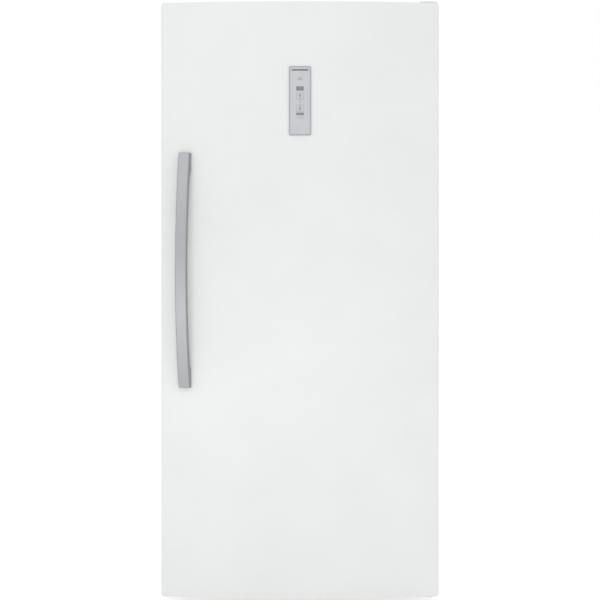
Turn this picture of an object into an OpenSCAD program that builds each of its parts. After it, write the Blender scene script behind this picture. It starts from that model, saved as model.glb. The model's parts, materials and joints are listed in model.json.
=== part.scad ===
// Upright refrigerator without a freezer: one door hinged on the right, a bowed handle and a
// control panel on the door, shelves and drawers inside, the cooling machine behind and below.
// Every piece is drawn with x = 0 on the middle plane, y = 0 at the cabinet's front flange
// (+y towards the wall) and z = 0 on the floor. placed() then moves it so that the origin lies
// on the floor below the centre of the whole refrigerator's box.

/* [Cabinet] */
// Width of the cabinet and of the door
body_w = 838; // [800:1:880]
// Depth of the cabinet from its front flange to its back
cab_d = 608; // [590:1:640]
// Height of the cabinet's top above the floor
cab_top = 1819; // [1817:1:1821]
// Height of the cabinet's underside above the floor
cab_bottom = 35; // [34:1:36]
// Thickness of the insulated side walls
side_wall = 53; // [50:1:60]
// Thickness of the insulated top
top_wall = 53; // [45:1:65]
// Thickness of the insulated floor
floor_wall = 62; // [58:1:66]
// Thickness of the insulated back wall
back_wall = 58; // [52:1:62]
// Thickness of the steel sheets
skin_t = 1; // [0.8:0.1:1.2]
// Thickness of the plastic inner liners
liner_t = 2; // [1.5:0.1:3]

/* [Machine compartment] */
// Depth of the machine compartment at its floor
machine_d = 250; // [240:1:256]
// Depth of the machine compartment at its roof
machine_roof_d = 165; // [160:1:175]
// Height of the machine compartment above the cabinet's underside
machine_h = 215; // [212:1:225]
// Height at which the compartment's front wall starts to lean back
machine_step = 85; // [70:1:95]
// Thickness of the insulation between the machine and the food space
machine_wall = 42; // [38:1:48]
// Height of the deck above the cabinet's underside
deck_rise = 15; // [12:1:18]
// Thickness of the deck plate
deck_t = 2; // [1.5:0.1:3]
// Radius of the compressor's shell
compressor_r = 70; // [62:1:72]
// Height of the compressor's shell
compressor_h = 145; // [125:1:150]
// Radius of the condenser fan
condenser_fan_r = 54; // [45:1:58]
// Number of condenser tube levels
condenser_levels = 5; // [3:1:5]
// Radius of the rear rollers
roller_r = 20; // [16:1:22]
// Width of the rear rollers
roller_w = 22; // [16:1:28]

/* [Levelling legs] */
// Distance of each leg from the cabinet's side
leg_in = 89; // [84:1:119]
// Distance of each leg behind the front flange
leg_y = 75; // [60:1:100]
// Radius of the leg's foot
leg_foot_r = 18; // [14:1:20]
// Radius of the leg's screw
leg_screw_r = 5; // [4:0.5:6]
// Height of the leg's foot
leg_foot_h = 12; // [10:1:16]

/* [Door] */
// Gap between the cabinet's flange and the back of the door
seal_gap = 12; // [11:0.5:14]
// Thickness of the door at its left and right edges
door_t = 58; // [54:1:64]
// How far the middle of the door's front bulges out
door_bow = 20; // [14:1:26]
// How far the door's lower edge lies above the cabinet's underside
door_lift = 2; // [1.5:0.1:3]
// How far the door's upper edge stands above the cabinet's top
door_over = 6; // [5:0.5:8]
// Radius of the door's vertical edges
door_edge_r = 8; // [5:1:12]
// Radius of the door's corners seen from the front
door_corner_r = 10; // [6:1:14]
// Height of the door's end caps
cap_h = 18; // [14:1:22]
// Wall of the door's end caps
cap_t = 3; // [2:0.5:4]
// Gap between the raised frame on the door's inner liner and the food space's sides
dyke_side_gap = 12; // [10:1:16]
// Width of the raised frame's sides
dyke_w = 24; // [20:1:26]
// How far the raised frame reaches into the cabinet
dyke_reach = 45; // [35:1:48]
// Gap between the raised frame and the food space's floor and top
dyke_gap = 16; // [12:1:24]
// Width of the magnetic gasket
gasket_w = 20; // [16:1:22]

/* [Hinges] */
// Distance of the hinge axis from the door's right side
hinge_in = 28; // [27:0.5:32]
// Distance of the hinge axis behind the door's edge plane
hinge_back = 25; // [22:0.5:27]
// Radius of the hinge pins
pin_r = 5; // [4:0.5:6]
// Radial clearance of the hinge pins and other running fits
run_fit = 0.05; // [0.02:0.01:0.08]
// Outer radius of the hinge bushes
bush_r = 8; // [7.5:0.5:9]
// Thickness of the hinge plates
hinge_t = 3; // [2.5:0.1:3.2]
// Radius of the hinge plates' noses
hinge_nose_r = 14; // [11:1:14]
// How far the hinge cover's top stands above the door's upper edge
cover_rise = 7; // [6.6:0.1:8]
// Width of the hinge cover
cover_w = 57; // [55:1:62]
// Radius of the hinge cover's right shoulder
cover_shoulder_r = 12; // [10:0.5:12]

/* [Handle] */
// Length of the handle
handle_len = 705; // [560:1:760]
// Height of the handle's middle above the floor
handle_mid_z = 1019; // [950:1:1080]
// Distance of the handle's fixing from the door's left side
handle_in = 77; // [66:1:99]
// Width of the handle bar
handle_w = 35; // [28:1:40]
// Thickness of the handle bar
handle_t = 14; // [11:1:17]
// How far the handle's front stands ahead of the door's edge plane
handle_reach = 55; // [48:1:65]
// How far the bar bows out between its ends
handle_bow = 30; // [22:1:34]
// Angle at which the bow leans out towards the door's left side
handle_lean = 14; // [0:1:16]
// Radius of the bar's long edges
handle_edge_r = 5; // [3:0.5:6]
// Height of the handle's feet along the door
handle_foot_h = 46; // [36:1:56]

/* [Control panel] */
// Width of the control panel
panel_w = 66; // [62:1:72]
// Height of the control panel
panel_h = 206; // [200:1:214]
// Height of the panel's middle above the floor
panel_mid_z = 1526; // [1480:1:1560]
// How far the panel's frame stands out of the door
panel_proud = 3.5; // [2.5:0.5:5]
// Width of the panel's frame
panel_rim = 4.5; // [3.5:0.5:6]
// Width of the display window
display_w = 22; // [18:1:26]
// Height of the display window
display_h = 12.6; // [10:0.1:14]
// Width of the up and down buttons
button_w = 20; // [16:1:24]
// Height of the up and down buttons
button_h = 21; // [16:1:21.5]
// Height of the mode button
mode_h = 6.8; // [5:0.1:7]
// How far the buttons travel
button_travel = 0.8; // [0.5:0.1:1]

/* [Shelves and drawers] */
// Distance of the shelves' front edges behind the front flange
shelf_front = 118; // [114:1:130]
// Gap between the shelves' back edges and the evaporator's cover
shelf_back_gap = 7; // [4:1:12]
// Thickness of the shelf frames
shelf_t = 14; // [12:1:18]
// Thickness of the glass
glass_t = 4; // [3:0.5:5]
// Underside of the lowest shelf's position above the floor
shelf_first = 808; // [790:1:815]
// Spacing of the shelf positions
shelf_pitch = 100; // [95:1:100]
// Positions between two neighbouring shelves
shelf_step = 3; // [2:1:3]
// Underside of the cover above the crispers
crisper_cover_z = 368; // [362:1:374]
// Thickness of the drawer covers
cover_t = 20; // [18:1:22]
// Height of the deli drawer
deli_h = 95; // [80:1:110]
// Gap between the deli drawer and the cover below it
deli_lift = 21.3; // [15:0.1:30]
// Wall of the drawers and door bins
tray_wall = 3; // [2:0.5:4]
// Gap between the crispers and the food space's floor
crisper_lift = 8; // [5:1:12]

/* [Door bins] */
// Gap between the door bins and the sides of the raised frame
bin_side_gap = 8; // [7:0.5:14]
// How far the bins reach into the cabinet
bin_reach = 103; // [80:1:104]
// Height of the door bins
bin_h = 110; // [90:1:130]
// Height of the lowest bin above the floor
bin_first = 142; // [140:1:150]
// Spacing of the door bins
bin_pitch = 380; // [360:1:385]

/* [Cooling] */
// Depth of the evaporator's cover ahead of the food space's back
evaporator_cover_d = 63; // [58:1:72]
// Number of evaporator tube runs
evaporator_runs = 7; // [5:2:7]
// Number of evaporator fins
fin_count = 26; // [14:1:34]
// Radius of the evaporator fan
evaporator_fan_r = 50; // [42:1:52]
// Number of blades on each fan
blade_count = 5; // [4:1:7]
// Inner radius of the cord gland
gland_r = 4; // [3:0.5:5]

/* [Hidden] */

$fn = 48;
// Small step by which a cut runs past the face that it opens
eps = 1;
// Gap between pieces that sit in or on each other without touching
seat_gap = 0.3;
// Gap between a clipped rail and the cover that it hangs under
clip_gap = 0.1;
half_w = body_w / 2;

// Food space: half width, floor, top and back
room_half = half_w - side_wall;
room_floor = cab_bottom + floor_wall;
room_top = cab_top - top_wall;
room_back = cab_d - back_wall;
// The front flange reaches from the cabinet's side to the liner
flange_w = side_wall - liner_t;

// Machine compartment
machine_y = cab_d - machine_d;
machine_roof_y = cab_d - machine_roof_d;
machine_top = cab_bottom + machine_h;
lean = [machine_roof_y - machine_y, machine_h - machine_step];
lean_up = lean / norm(lean);
lean_out = [-lean_up[1], lean_up[0]];
deck_z = cab_bottom + deck_rise;
deck_top = deck_z + deck_t;
sheet_y = cab_d - 4;
cover_plate_t = 1.2;

// Door
door_bottom = cab_bottom + door_lift;
door_top = cab_top + door_over;
door_h = door_top - door_bottom;
door_mid_z = (door_top + door_bottom) / 2;
door_back_y = -seal_gap;
door_edge_y = door_back_y - door_t;
door_front_y = door_edge_y - door_bow;
bow_r = (half_w * half_w + door_bow * door_bow) / (2 * door_bow);
bow_y = door_front_y + bow_r;
edge_x = half_w - door_edge_r;
edge_y = bow_y - sqrt(pow(bow_r - door_edge_r, 2) - edge_x * edge_x);
door_liner_y = door_back_y - skin_t;
door_foam_y = door_liner_y - liner_t;
foam_gap = 0.1;
dyke_bottom = room_floor + dyke_gap;
dyke_top = room_top - dyke_gap;
dyke_half = room_half - dyke_side_gap;
dyke_inner = dyke_half - dyke_w;

// The whole refrigerator reaches from the handle's front to the cabinet's back
front_y = door_edge_y - handle_reach;
centre_y = (front_y + cab_d) / 2;

// Hinges
hinge_x = half_w - hinge_in;
hinge_y = door_edge_y + hinge_back;
plate_z = door_top + 1.5;
pin_len = 26;
boss_h = 30;
bush_flange_r = bush_r + 3;
low_plate_t = 4;
low_plate_z = cab_bottom - low_plate_t;
cover_top = door_top + cover_rise;
cover_shell = 1.6;
cover_back_y = 95;
cover_front_y = hinge_y - hinge_nose_r - 2 - cover_shell;
hinge_screws = [[0, 22], [0, 48], [0, 74]];
low_screws = [[0, 15], [-18, 45], [12, 45]];

// Handle
handle_x = half_w - handle_in;
handle_r = (pow(handle_len / 2, 2) + handle_bow * handle_bow) / (2 * handle_bow);
handle_y = door_edge_y - handle_reach;
handle_angle = 2 * asin(handle_len / 2 / handle_r);
handle_top = handle_mid_z + handle_len / 2;
stud_in = handle_foot_h / 2;
stud_r = 3;
stud_len = 26;

// Control panel
face_y = door_front_y - panel_proud + 1;
panel_inner_w = panel_w - 2 * panel_rim;
panel_inner_h = panel_h - 2 * panel_rim;
panel_back_y = door_front_y + 14;
panel_wall = 2.5;
face_t = 2.4;
display_z = panel_mid_z + 36.8;
up_z = panel_mid_z + 14;
down_z = panel_mid_z - 22;
mode_z = panel_mid_z - 39.4;
lamp_z = (up_z + down_z) / 2;
board_y = door_front_y + 8;

// Shelves and drawers
cover_y = room_back - evaporator_cover_d;
shelf_d = cover_y - shelf_back_gap - shelf_front;
ledge_w = 14;
ledge_h = 10;
shelf_half = room_half - 6;
shelf_back = shelf_front + shelf_d;
rail_drop = 8;
tray_rim_t = 4;
tray_top_drop = rail_drop - seat_gap - tray_rim_t;
deli_cover_z = crisper_cover_z + cover_t + deli_lift + deli_h + tray_top_drop;
shelf_levels = [for (i = [0:2]) shelf_first + i * shelf_step * shelf_pitch];
ledge_levels = concat([for (i = [-1:7]) shelf_first + i * shelf_pitch],
    [deli_cover_z, crisper_cover_z]);
shelf_rim = 16;
rebate = 6;
rail_out = room_half - ledge_w - 2;
rail_t = 4;
rail_foot = 14;
rim_half = rail_out - rail_t - 0.6;
tray_rim = 11;
mid_rail = 13;
mid_rim = 4.6;
tray_back = shelf_back - 7;
lip = 6;
slider_x = 175;
slider_travel = 15;

// Door bins
bin_levels = [for (i = [3:-1:0]) bin_first + i * bin_pitch];
bin_back = door_liner_y + seat_gap;
bin_half = dyke_inner - bin_side_gap;
lug_w = dyke_inner - bin_half - 0.6;
lug_y = 8;
lug_d = 12;
lug_low = 30;
lug_high = 60;

// Evaporator behind its cover
cover_half = 255;
cover_low = 480;
cover_high = 880;
tower_half = 90;
tower_top = room_top - 126;
tower_y = room_back - 30;
coil_half = 200;
coil_y = (cover_y + room_back) / 2;
coil_low = cover_low + 60;
coil_pitch = 25;
coil_r = 4;
evaporator_fan_z = cover_high - 80;
drain_x = -200;
drain_y = room_back + 28;
drain_z = cover_low + 20;
drain_r = 8;

// Machine pieces
compressor_in = 169;
compressor_x = half_w - compressor_in;
compressor_gap = 34;
compressor_y = sheet_y - compressor_gap - compressor_r;
mount_h = 18;
mount_x = 75;
mount_y = 45;
base_z = deck_top + mount_h;
pan_lo = [45 - half_w, machine_y + 62];
pan_hi = [-46, sheet_y - 10];
pan_h = 30;
condenser_x = [39 - half_w, -40];
condenser_low = deck_top + 48;
condenser_pitch = 24;
condenser_tube_r = 3;
condenser_front = 92;
condenser_row_gap = 40;
condenser_rows = [machine_y + condenser_front, machine_y + condenser_front + condenser_row_gap];
condenser_lip = 14;
wire_pitch = 20;
wire_t = 1.6;
condenser_fan_x = -5;
condenser_fan_y = condenser_rows[1] - 7;
condenser_fan_z = deck_top + 98;
roller_x = half_w - 59;
roller_y = cab_d - 48;
axle_r = 4;
cheek_t = 2;
cheek_half = 12;
leg_x = half_w - leg_in;

// Moves a piece from the flange's frame to the part's own frame
module placed() {
    translate([0, -centre_y, 0]) children();
}

// Block between two opposite corners
module block(lo, hi) {
    translate(lo) cube(hi - lo);
}

// The same shape on the right and, mirrored, on the left
module both_sides() {
    children();
    mirror([1, 0, 0]) children();
}

// Rectangle with round corners, centred, in the drawing plane
module round_rect(w, h, r) {
    square([w - 2 * r, h], center = true);
    square([w, h - 2 * r], center = true);
    for (x = [-1, 1], y = [-1, 1])
        translate([x * (w / 2 - r), y * (h / 2 - r)]) circle(r);
}

// Upright plate seen from the front: a drawing in x and z, from y0 back to y1
module front_plate(y0, y1) {
    translate([0, y1, 0]) rotate([90, 0, 0]) linear_extrude(y1 - y0) children();
}

// Outline in y and z drawn out along x, half on each side of x
module side_extrude(x, w) {
    translate([x - w / 2, 0, 0]) rotate([90, 0, 90]) linear_extrude(w) children();
}

// Cylinder that points along y
module rod_y(x, z, r, y0, y1) {
    translate([x, y0, z]) rotate([-90, 0, 0]) cylinder(h = y1 - y0, r = r);
}

// Cylinder that points along x
module rod_x(y, z, r, x0, x1) {
    translate([x0, y, z]) rotate([0, 90, 0]) cylinder(h = x1 - x0, r = r);
}

// Straight tube pieces with a brazed fitting at each turn
module tube_path(points, r) {
    for (i = [0:len(points) - 2]) {
        step = points[i + 1] - points[i];
        reach = norm(step);
        translate(points[i])
            rotate([0, acos(step[2] / reach), atan2(step[1], step[0])])
            cylinder(h = reach, r = r);
    }
    for (i = [1:1:len(points) - 2]) translate(points[i]) sphere(r + 0.6);
}

// Corner of the machine compartment's outline, moved out by w between two faces
function mitre(p, n1, n2, w) = p + w * (n1 + n2) / (1 + n1 * n2);
function machine_bend(w) = [
    mitre([machine_y, cab_bottom + machine_step], [-1, 0], lean_out, w),
    mitre([machine_roof_y, machine_top], lean_out, [0, 1], w)];

// Machine compartment's outline in y and z, moved out by w
module machine_outline(w) {
    bend = machine_bend(w);
    polygon([[machine_y - w, cab_bottom - eps], bend[0], bend[1],
        [cab_d + eps, machine_top + w], [cab_d + eps, cab_bottom - eps]]);
}

// Food space's outline in y and z, moved out by w
module room_outline(w) {
    bend = machine_bend(machine_wall - w);
    polygon([[0, room_floor - w], [bend[0][0], room_floor - w], bend[0], bend[1],
        [room_back + w, bend[1][1]], [room_back + w, room_top + w], [0, room_top + w]]);
}

// The compartment's hollow in the liner, or the liner's outside
module room(w) {
    side_extrude(0, 2 * (room_half + w)) room_outline(w);
}

// Cabinet

module side_panel() {
    top = cab_top - skin_t;
    block([half_w - skin_t, 0, cab_bottom], [half_w, cab_d, top]);
    block([half_w - flange_w, 0, cab_bottom], [half_w, skin_t, top]);
    block([half_w - 12, cab_d - skin_t, cab_bottom], [half_w, cab_d, top]);
}

module left_side_panel() {
    placed() color("whitesmoke") mirror([1, 0, 0]) side_panel();
}

module right_side_panel() {
    placed() color("whitesmoke") side_panel();
}

module top_panel() {
    inner = half_w - flange_w;
    placed() color("whitesmoke") difference() {
        union() {
            block([-half_w, 0, cab_top - skin_t], [half_w, cab_d, cab_top]);
            block([-inner, 0, room_top + liner_t], [inner, skin_t, cab_top]);
        }
        top_hinge_screws(0);
    }
}

module back_panel() {
    inner = half_w - skin_t;
    placed() color("gainsboro") block([-inner, cab_d - 2 * skin_t, machine_top],
        [inner, cab_d - skin_t, cab_top - skin_t]);
}

// Blind boss that takes the screw of a levelling leg
leg_boss_top = cab_bottom + 37;
module leg_boss(r, top) {
    both_sides() translate([leg_x, leg_y, cab_bottom - eps])
        cylinder(h = top - cab_bottom + eps, r = r);
}

module base_rail() {
    inner = half_w - flange_w;
    wide = half_w - skin_t;
    placed() color("lightgray") difference() {
        union() {
            block([-inner, 0, cab_bottom], [inner, skin_t, room_floor - liner_t]);
            block([-wide, skin_t, cab_bottom], [wide, machine_y, cab_bottom + skin_t]);
            intersection() {
                leg_boss(leg_screw_r + 5, leg_boss_top);
                block([-half_w, 0, cab_bottom], [half_w, cab_d, cab_top]);
            }
        }
        leg_boss(leg_screw_r + run_fit, leg_boss_top - 3);
        low_hinge_screws(0);
    }
}

// Folded sheet that walls the machine compartment, with its deck and its two screw lips
module machine_deck() {
    wide = half_w - skin_t;
    placed() color("silver") difference() {
        union() {
            intersection() {
                side_extrude(0, 2 * wide) difference() {
                    machine_outline(0);
                    machine_outline(-skin_t);
                }
                block([-wide, 0, cab_bottom], [wide, sheet_y, cab_top]);
            }
            block([-wide, machine_y + skin_t, deck_z], [wide, sheet_y, deck_top]);
            both_sides() block([wide - deck_t, machine_y + skin_t, cab_bottom],
                [wide, sheet_y, deck_top]);
            block([-wide, sheet_y - skin_t, deck_z], [wide, sheet_y, deck_top + 16]);
            block([-wide, sheet_y - skin_t, machine_top - 16], [wide, sheet_y, machine_top]);
        }
        rear_screws(0);
        drain_tube(drain_r + 1);
        suction_line(suction_r + 1);
    }
}

module cabinet_foam() {
    wide = half_w - skin_t;
    placed() color("khaki") difference() {
        block([-wide, skin_t, cab_bottom + skin_t],
            [wide, cab_d - 2 * skin_t, cab_top - skin_t]);
        side_extrude(0, 2 * half_w) machine_outline(0);
        room(liner_t);
        block([-room_half - liner_t, 0, room_floor - liner_t],
            [room_half + liner_t, liner_t + eps, room_top + liner_t]);
        leg_boss(leg_screw_r + 5, leg_boss_top);
        drain_tube(drain_r);
        suction_line(suction_r);
        top_hinge_screws(0);
        low_hinge_screws(0);
    }
}

module cabinet_liner() {
    placed() color("white") difference() {
        union() {
            difference() {
                room(liner_t);
                translate([0, -eps, 0]) room(0);
                room(0);
            }
            both_sides() for (z = ledge_levels)
                block([room_half - ledge_w, shelf_front + 7, z - ledge_h],
                    [room_half + eps, shelf_back + 20, z]);
        }
        drain_tube(drain_r);
        suction_line(suction_r);
    }
}

// Shelves

// Frame of a shelf with its underside at z, and a rebate for its glass
module shelf_frame(z, t) {
    difference() {
        block([-shelf_half, shelf_front, z], [shelf_half, shelf_back, z + t]);
        block([-shelf_half + shelf_rim, shelf_front + shelf_rim, z - eps],
            [shelf_half - shelf_rim, shelf_back - shelf_rim, z + t + eps]);
        block([-shelf_half + shelf_rim - rebate, shelf_front + shelf_rim - rebate,
            z + t - glass_t - 0.5],
            [shelf_half - shelf_rim + rebate, shelf_back - shelf_rim + rebate, z + t + eps]);
    }
}

module glass_pane(z, t) {
    in = shelf_rim - rebate + seat_gap;
    block([-shelf_half + in, shelf_front + in, z + t - glass_t - 0.5],
        [shelf_half - in, shelf_back - in, z + t - 0.5]);
}

module shelf_frames() {
    placed() color("white") for (z = shelf_levels) shelf_frame(z, shelf_t);
}

module glass_panes() {
    placed() color("lightcyan", 0.4) {
        for (z = shelf_levels) glass_pane(z, shelf_t);
        glass_pane(deli_cover_z, cover_t);
        glass_pane(crisper_cover_z, cover_t);
    }
}

// Angle rail clipped on under the right end of a cover, in which a drawer's rim hangs
module side_rail(z) {
    block([rail_out - rail_t, shelf_front + 10, z - rail_drop - tray_wall],
        [rail_out, shelf_back - 2, z - clip_gap]);
    block([rail_out - rail_foot, shelf_front + 10, z - rail_drop - tray_wall],
        [rail_out, shelf_back - 2, z - rail_drop]);
}

module deli_cover() {
    placed() color("white") {
        shelf_frame(deli_cover_z, cover_t);
        both_sides() side_rail(deli_cover_z);
    }
}

// Slot in the crisper cover's front that holds a humidity slider by its inner plate
slot_z = crisper_cover_z + cover_t / 2;
module slider_slot(x) {
    half = 10 + slider_travel + 0.5;
    block([x - half, shelf_front - eps, slot_z - 3], [x + half, shelf_front + 4, slot_z + 3]);
    block([x - half, shelf_front + 3, slot_z - 5], [x + half, shelf_front + 6.5, slot_z + 5]);
}

module crisper_cover() {
    z = crisper_cover_z;
    placed() color("white") difference() {
        union() {
            shelf_frame(z, cover_t);
            both_sides() side_rail(z);
            block([-mid_rail, shelf_front, z], [mid_rail, shelf_back, z + cover_t - glass_t - 0.5]);
            block([-2, shelf_front + 10, z - rail_drop - tray_wall],
                [2, shelf_back - 2, z - clip_gap]);
            block([-mid_rail, shelf_front + 10, z - rail_drop - tray_wall],
                [mid_rail, shelf_back - 2, z - rail_drop]);
        }
        slider_slot(slider_x);
        slider_slot(-slider_x);
    }
}

module humidity_slider(x) {
    block([x - 10, shelf_front - 0.5, slot_z - 2.7], [x + 10, shelf_front + 4, slot_z + 2.7]);
    block([x - 10, shelf_front + 3.3, slot_z - 4.7], [x + 10, shelf_front + 6.2, slot_z + 4.7]);
    block([x - 12, shelf_front - lip, slot_z - 6], [x + 12, shelf_front - seat_gap, slot_z + 6]);
}

module left_humidity_slider() {
    placed() color("lightgray") humidity_slider(-slider_x);
}

module right_humidity_slider() {
    placed() color("lightgray") humidity_slider(slider_x);
}

// Drawers

// Crisper's outline in y and z: it follows the hump over the machine compartment
module crisper_outline(inset, top) {
    bend = machine_bend(machine_wall + crisper_lift + inset);
    low = room_floor + crisper_lift + inset;
    polygon([[shelf_front + inset, low], [bend[0][0], low], bend[0], bend[1],
        [tray_back - inset, bend[1][1]], [tray_back - inset, top], [shelf_front + inset, top]]);
}

module crisper() {
    top = crisper_cover_z - tray_top_drop;
    x0 = mid_rim + tray_rim;
    x1 = rim_half - tray_rim;
    mid = (x0 + x1) / 2;
    difference() {
        union() {
            side_extrude(mid, x1 - x0) crisper_outline(0, top);
            block([mid_rim, shelf_front + 12, top - tray_rim_t], [rim_half, tray_back, top]);
            block([2, shelf_front, room_floor + crisper_lift],
                [rail_out, shelf_front + tray_rim_t, top]);
            block([mid - 70, shelf_front - lip, top - 16],
                [mid + 70, shelf_front + eps, top - 10]);
        }
        side_extrude(mid, x1 - x0 - 2 * tray_wall) crisper_outline(tray_wall, top + eps);
    }
}

module right_crisper() {
    placed() color("aliceblue", 0.5) crisper();
}

module left_crisper() {
    placed() color("aliceblue", 0.5) mirror([1, 0, 0]) crisper();
}

module deli_drawer() {
    top = deli_cover_z - tray_top_drop;
    low = top - deli_h;
    half = rim_half - tray_rim;
    placed() color("aliceblue", 0.5) difference() {
        union() {
            block([-half, shelf_front, low], [half, tray_back, top]);
            block([-rim_half, shelf_front + 12, top - tray_rim_t], [rim_half, tray_back, top]);
            block([-rail_out, shelf_front, low], [rail_out, shelf_front + tray_rim_t, top]);
            block([-90, shelf_front - lip, top - 16], [90, shelf_front + eps, top - 10]);
        }
        block([-half + tray_wall, shelf_front + tray_rim_t, low + tray_wall],
            [half - tray_wall, tray_back - tray_wall, top + eps]);
    }
}

// Interior light

light_half = 130;
light_front = 170;
light_d = 60;
light_y = [light_front, light_front + light_d];
light_h = 12;
light_wall = 2;
light_board_t = 1.6;
light_chip = 5;
light_post_in = 30;
light_chip_in = 46;

module light_lens() {
    placed() color("white", 0.7) difference() {
        block([-light_half, light_y[0], room_top - light_h], [light_half, light_y[1], room_top]);
        block([light_wall - light_half, light_y[0] + light_wall, room_top - light_h + light_wall],
            [light_half - light_wall, light_y[1] - light_wall, room_top + eps]);
    }
}

module light_board() {
    mid_y = light_y[0] + light_d / 2;
    stand_off = 2.4;
    low = room_top - stand_off - light_board_t;
    chip_pitch = (light_half - light_chip_in) / 3;
    placed() color("seagreen") {
        block([14 - light_half, light_y[0] + 12, low],
            [light_half - 14, light_y[1] - 12, room_top - stand_off]);
        for (x = [-1, 1]) translate([x * (light_half - light_post_in), mid_y, low + 1])
            cylinder(h = 3, r = 3);
        for (i = [-3:3]) translate([i * chip_pitch - light_chip / 2, mid_y - light_chip / 2, low - 1.2])
            cube([light_chip, light_chip, 1.5]);
    }
}

// Cooling inside the food space

module evaporator_cover() {
    t = 2.5;
    placed() color("white") difference() {
        union() {
            block([-cover_half, cover_y, cover_low], [cover_half, room_back, cover_high]);
            block([-tower_half, tower_y, cover_high - eps], [tower_half, room_back, tower_top]);
        }
        block([-cover_half + t, cover_y + t, cover_low + t],
            [cover_half - t, room_back + eps, cover_high - t]);
        block([-tower_half + t, tower_y + t, cover_high - 2 * t],
            [tower_half - t, room_back + eps, tower_top - t]);
        front_plate(cover_y - eps, cover_y + t + eps) intersection() {
            translate([0, evaporator_fan_z]) circle(evaporator_fan_r);
            for (i = [-4:4]) translate([0, evaporator_fan_z + i * 11])
                square([2 * evaporator_fan_r, 6], center = true);
        }
        front_plate(cover_y - eps, cover_y + t + eps) for (i = [-5:5])
            translate([i * 40, cover_low + 36]) round_rect(26, 8, 3.9);
        front_plate(tower_y - eps, tower_y + t + eps) for (z = shelf_levels, i = [0:2], x = [-1, 1])
            translate([x * 38, z + 120 + i * 24]) round_rect(56, 8, 3.9);
    }
}

// Half turn that joins two neighbouring tube runs at the end of a coil
module return_bend(x, y, z, side, pitch, r) {
    translate([x, y, z]) rotate([90, 0, 0]) rotate([0, 0, side > 0 ? -90 : 90])
        rotate_extrude(angle = 180) translate([pitch / 2, 0]) circle(r);
}

// Level tubes joined into one zigzag, from z0 upwards
module zigzag(x0, x1, y, z0, pitch, runs, r) {
    for (i = [0:runs - 1]) rod_x(y, z0 + i * pitch, r, x0, x1);
    for (i = [0:runs - 2])
        return_bend(i % 2 == 0 ? x1 : x0, y, z0 + (i + 0.5) * pitch, i % 2 == 0 ? 1 : -1, pitch, r);
}

coil_top = coil_low + (evaporator_runs - 1) * coil_pitch;
coil_end = coil_half + 10;
module evaporator() {
    placed() color("silver") {
        zigzag(-coil_end, coil_end, coil_y, coil_low, coil_pitch, evaporator_runs, coil_r);
        both_sides() block([coil_half + 5, coil_y - 21, coil_low - 12],
            [coil_half + 6.2, room_back, coil_top + 12]);
        for (i = [0:fin_count - 1]) {
            x = -coil_half + i * 2 * coil_half / (fin_count - 1);
            side_extrude(x, 0.6) difference() {
                translate([coil_y - 21, coil_low - 12]) square([42, coil_top - coil_low + 24]);
                for (k = [0:evaporator_runs - 1])
                    translate([coil_y, coil_low + k * coil_pitch]) circle(coil_r + 0.02);
            }
        }
    }
}

// Drain's spout and downpipe, from the trough through the back wall to the drain pan
drain_low = deck_top + pan_h + 6;
module drain_tube(r) {
    rod_y(drain_x, drain_z, r, room_back - 12, drain_y);
    translate([drain_x, drain_y, drain_low]) cylinder(h = drain_z - drain_low, r = r);
    translate([drain_x, drain_y, drain_z]) sphere(r);
}

module drain_trough() {
    half = coil_half + 30;
    front = cover_y + 4;
    low = drain_z - 10;
    placed() color("lightgray") difference() {
        union() {
            block([-half, front, low], [half, room_back, low + 26]);
            drain_tube(drain_r);
        }
        block([-half + 2, front + 2, low + 2], [half - 2, room_back - 2, low + 26 + eps]);
        drain_tube(drain_r - 1.5);
        translate([drain_x, drain_y, drain_low - eps]) cylinder(h = 3, r = drain_r - 1.5);
    }
}

// Blades around a hub, turning about z
module fan_blades(r, hub_r, h) {
    difference() {
        cylinder(h = h, r = hub_r);
        translate([0, 0, -eps]) cylinder(h = h - 3, r = 3 + run_fit);
    }
    for (i = [0:blade_count - 1]) rotate([0, 0, i * 360 / blade_count])
        translate([hub_r - 2, 0, h / 2]) rotate([28, 0, 0])
        translate([0, -r * 0.24, -0.8]) cube([r - hub_r, r * 0.48, 1.6]);
}

evaporator_fan_y = cover_y + 30;
module evaporator_fan() {
    placed() color("dimgray") translate([0, evaporator_fan_y, evaporator_fan_z])
        rotate([90, 0, 0]) fan_blades(evaporator_fan_r - 2, 16, 14);
}

module condenser_fan() {
    placed() color("dimgray") translate([condenser_fan_x, condenser_fan_y, condenser_fan_z])
        rotate([0, -90, 0]) fan_blades(condenser_fan_r, 18, 16);
}

// Both fan motors with their shafts and brackets
module fan_motors() {
    motor_y = evaporator_fan_y + 4;
    strap_t = 6;
    motor_x = condenser_fan_x + 4;
    motor_end = motor_x + 34;
    motor_r = 22;
    arm_half = 16;
    foot_half = 30;
    foot_t = 2;
    placed() color("slategray") {
        rod_y(0, evaporator_fan_z, 3, evaporator_fan_y - 9, motor_y + eps);
        rod_y(0, evaporator_fan_z, motor_r - 2, motor_y, room_back - strap_t);
        block([-2 * foot_half, room_back - strap_t - eps, evaporator_fan_z - 9],
            [2 * foot_half, room_back, evaporator_fan_z + 9]);
        rod_x(condenser_fan_y, condenser_fan_z, 3, condenser_fan_x - 11, motor_x + eps);
        rod_x(condenser_fan_y, condenser_fan_z, motor_r, motor_x, motor_end);
        block([motor_end - 2, condenser_fan_y - arm_half, deck_top],
            [motor_end + 2, condenser_fan_y + arm_half, condenser_fan_z + motor_r + 2]);
        block([motor_end - 18, condenser_fan_y - foot_half, deck_top],
            [motor_end + 18, condenser_fan_y + foot_half, deck_top + foot_t]);
    }
}

// Machine compartment

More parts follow.
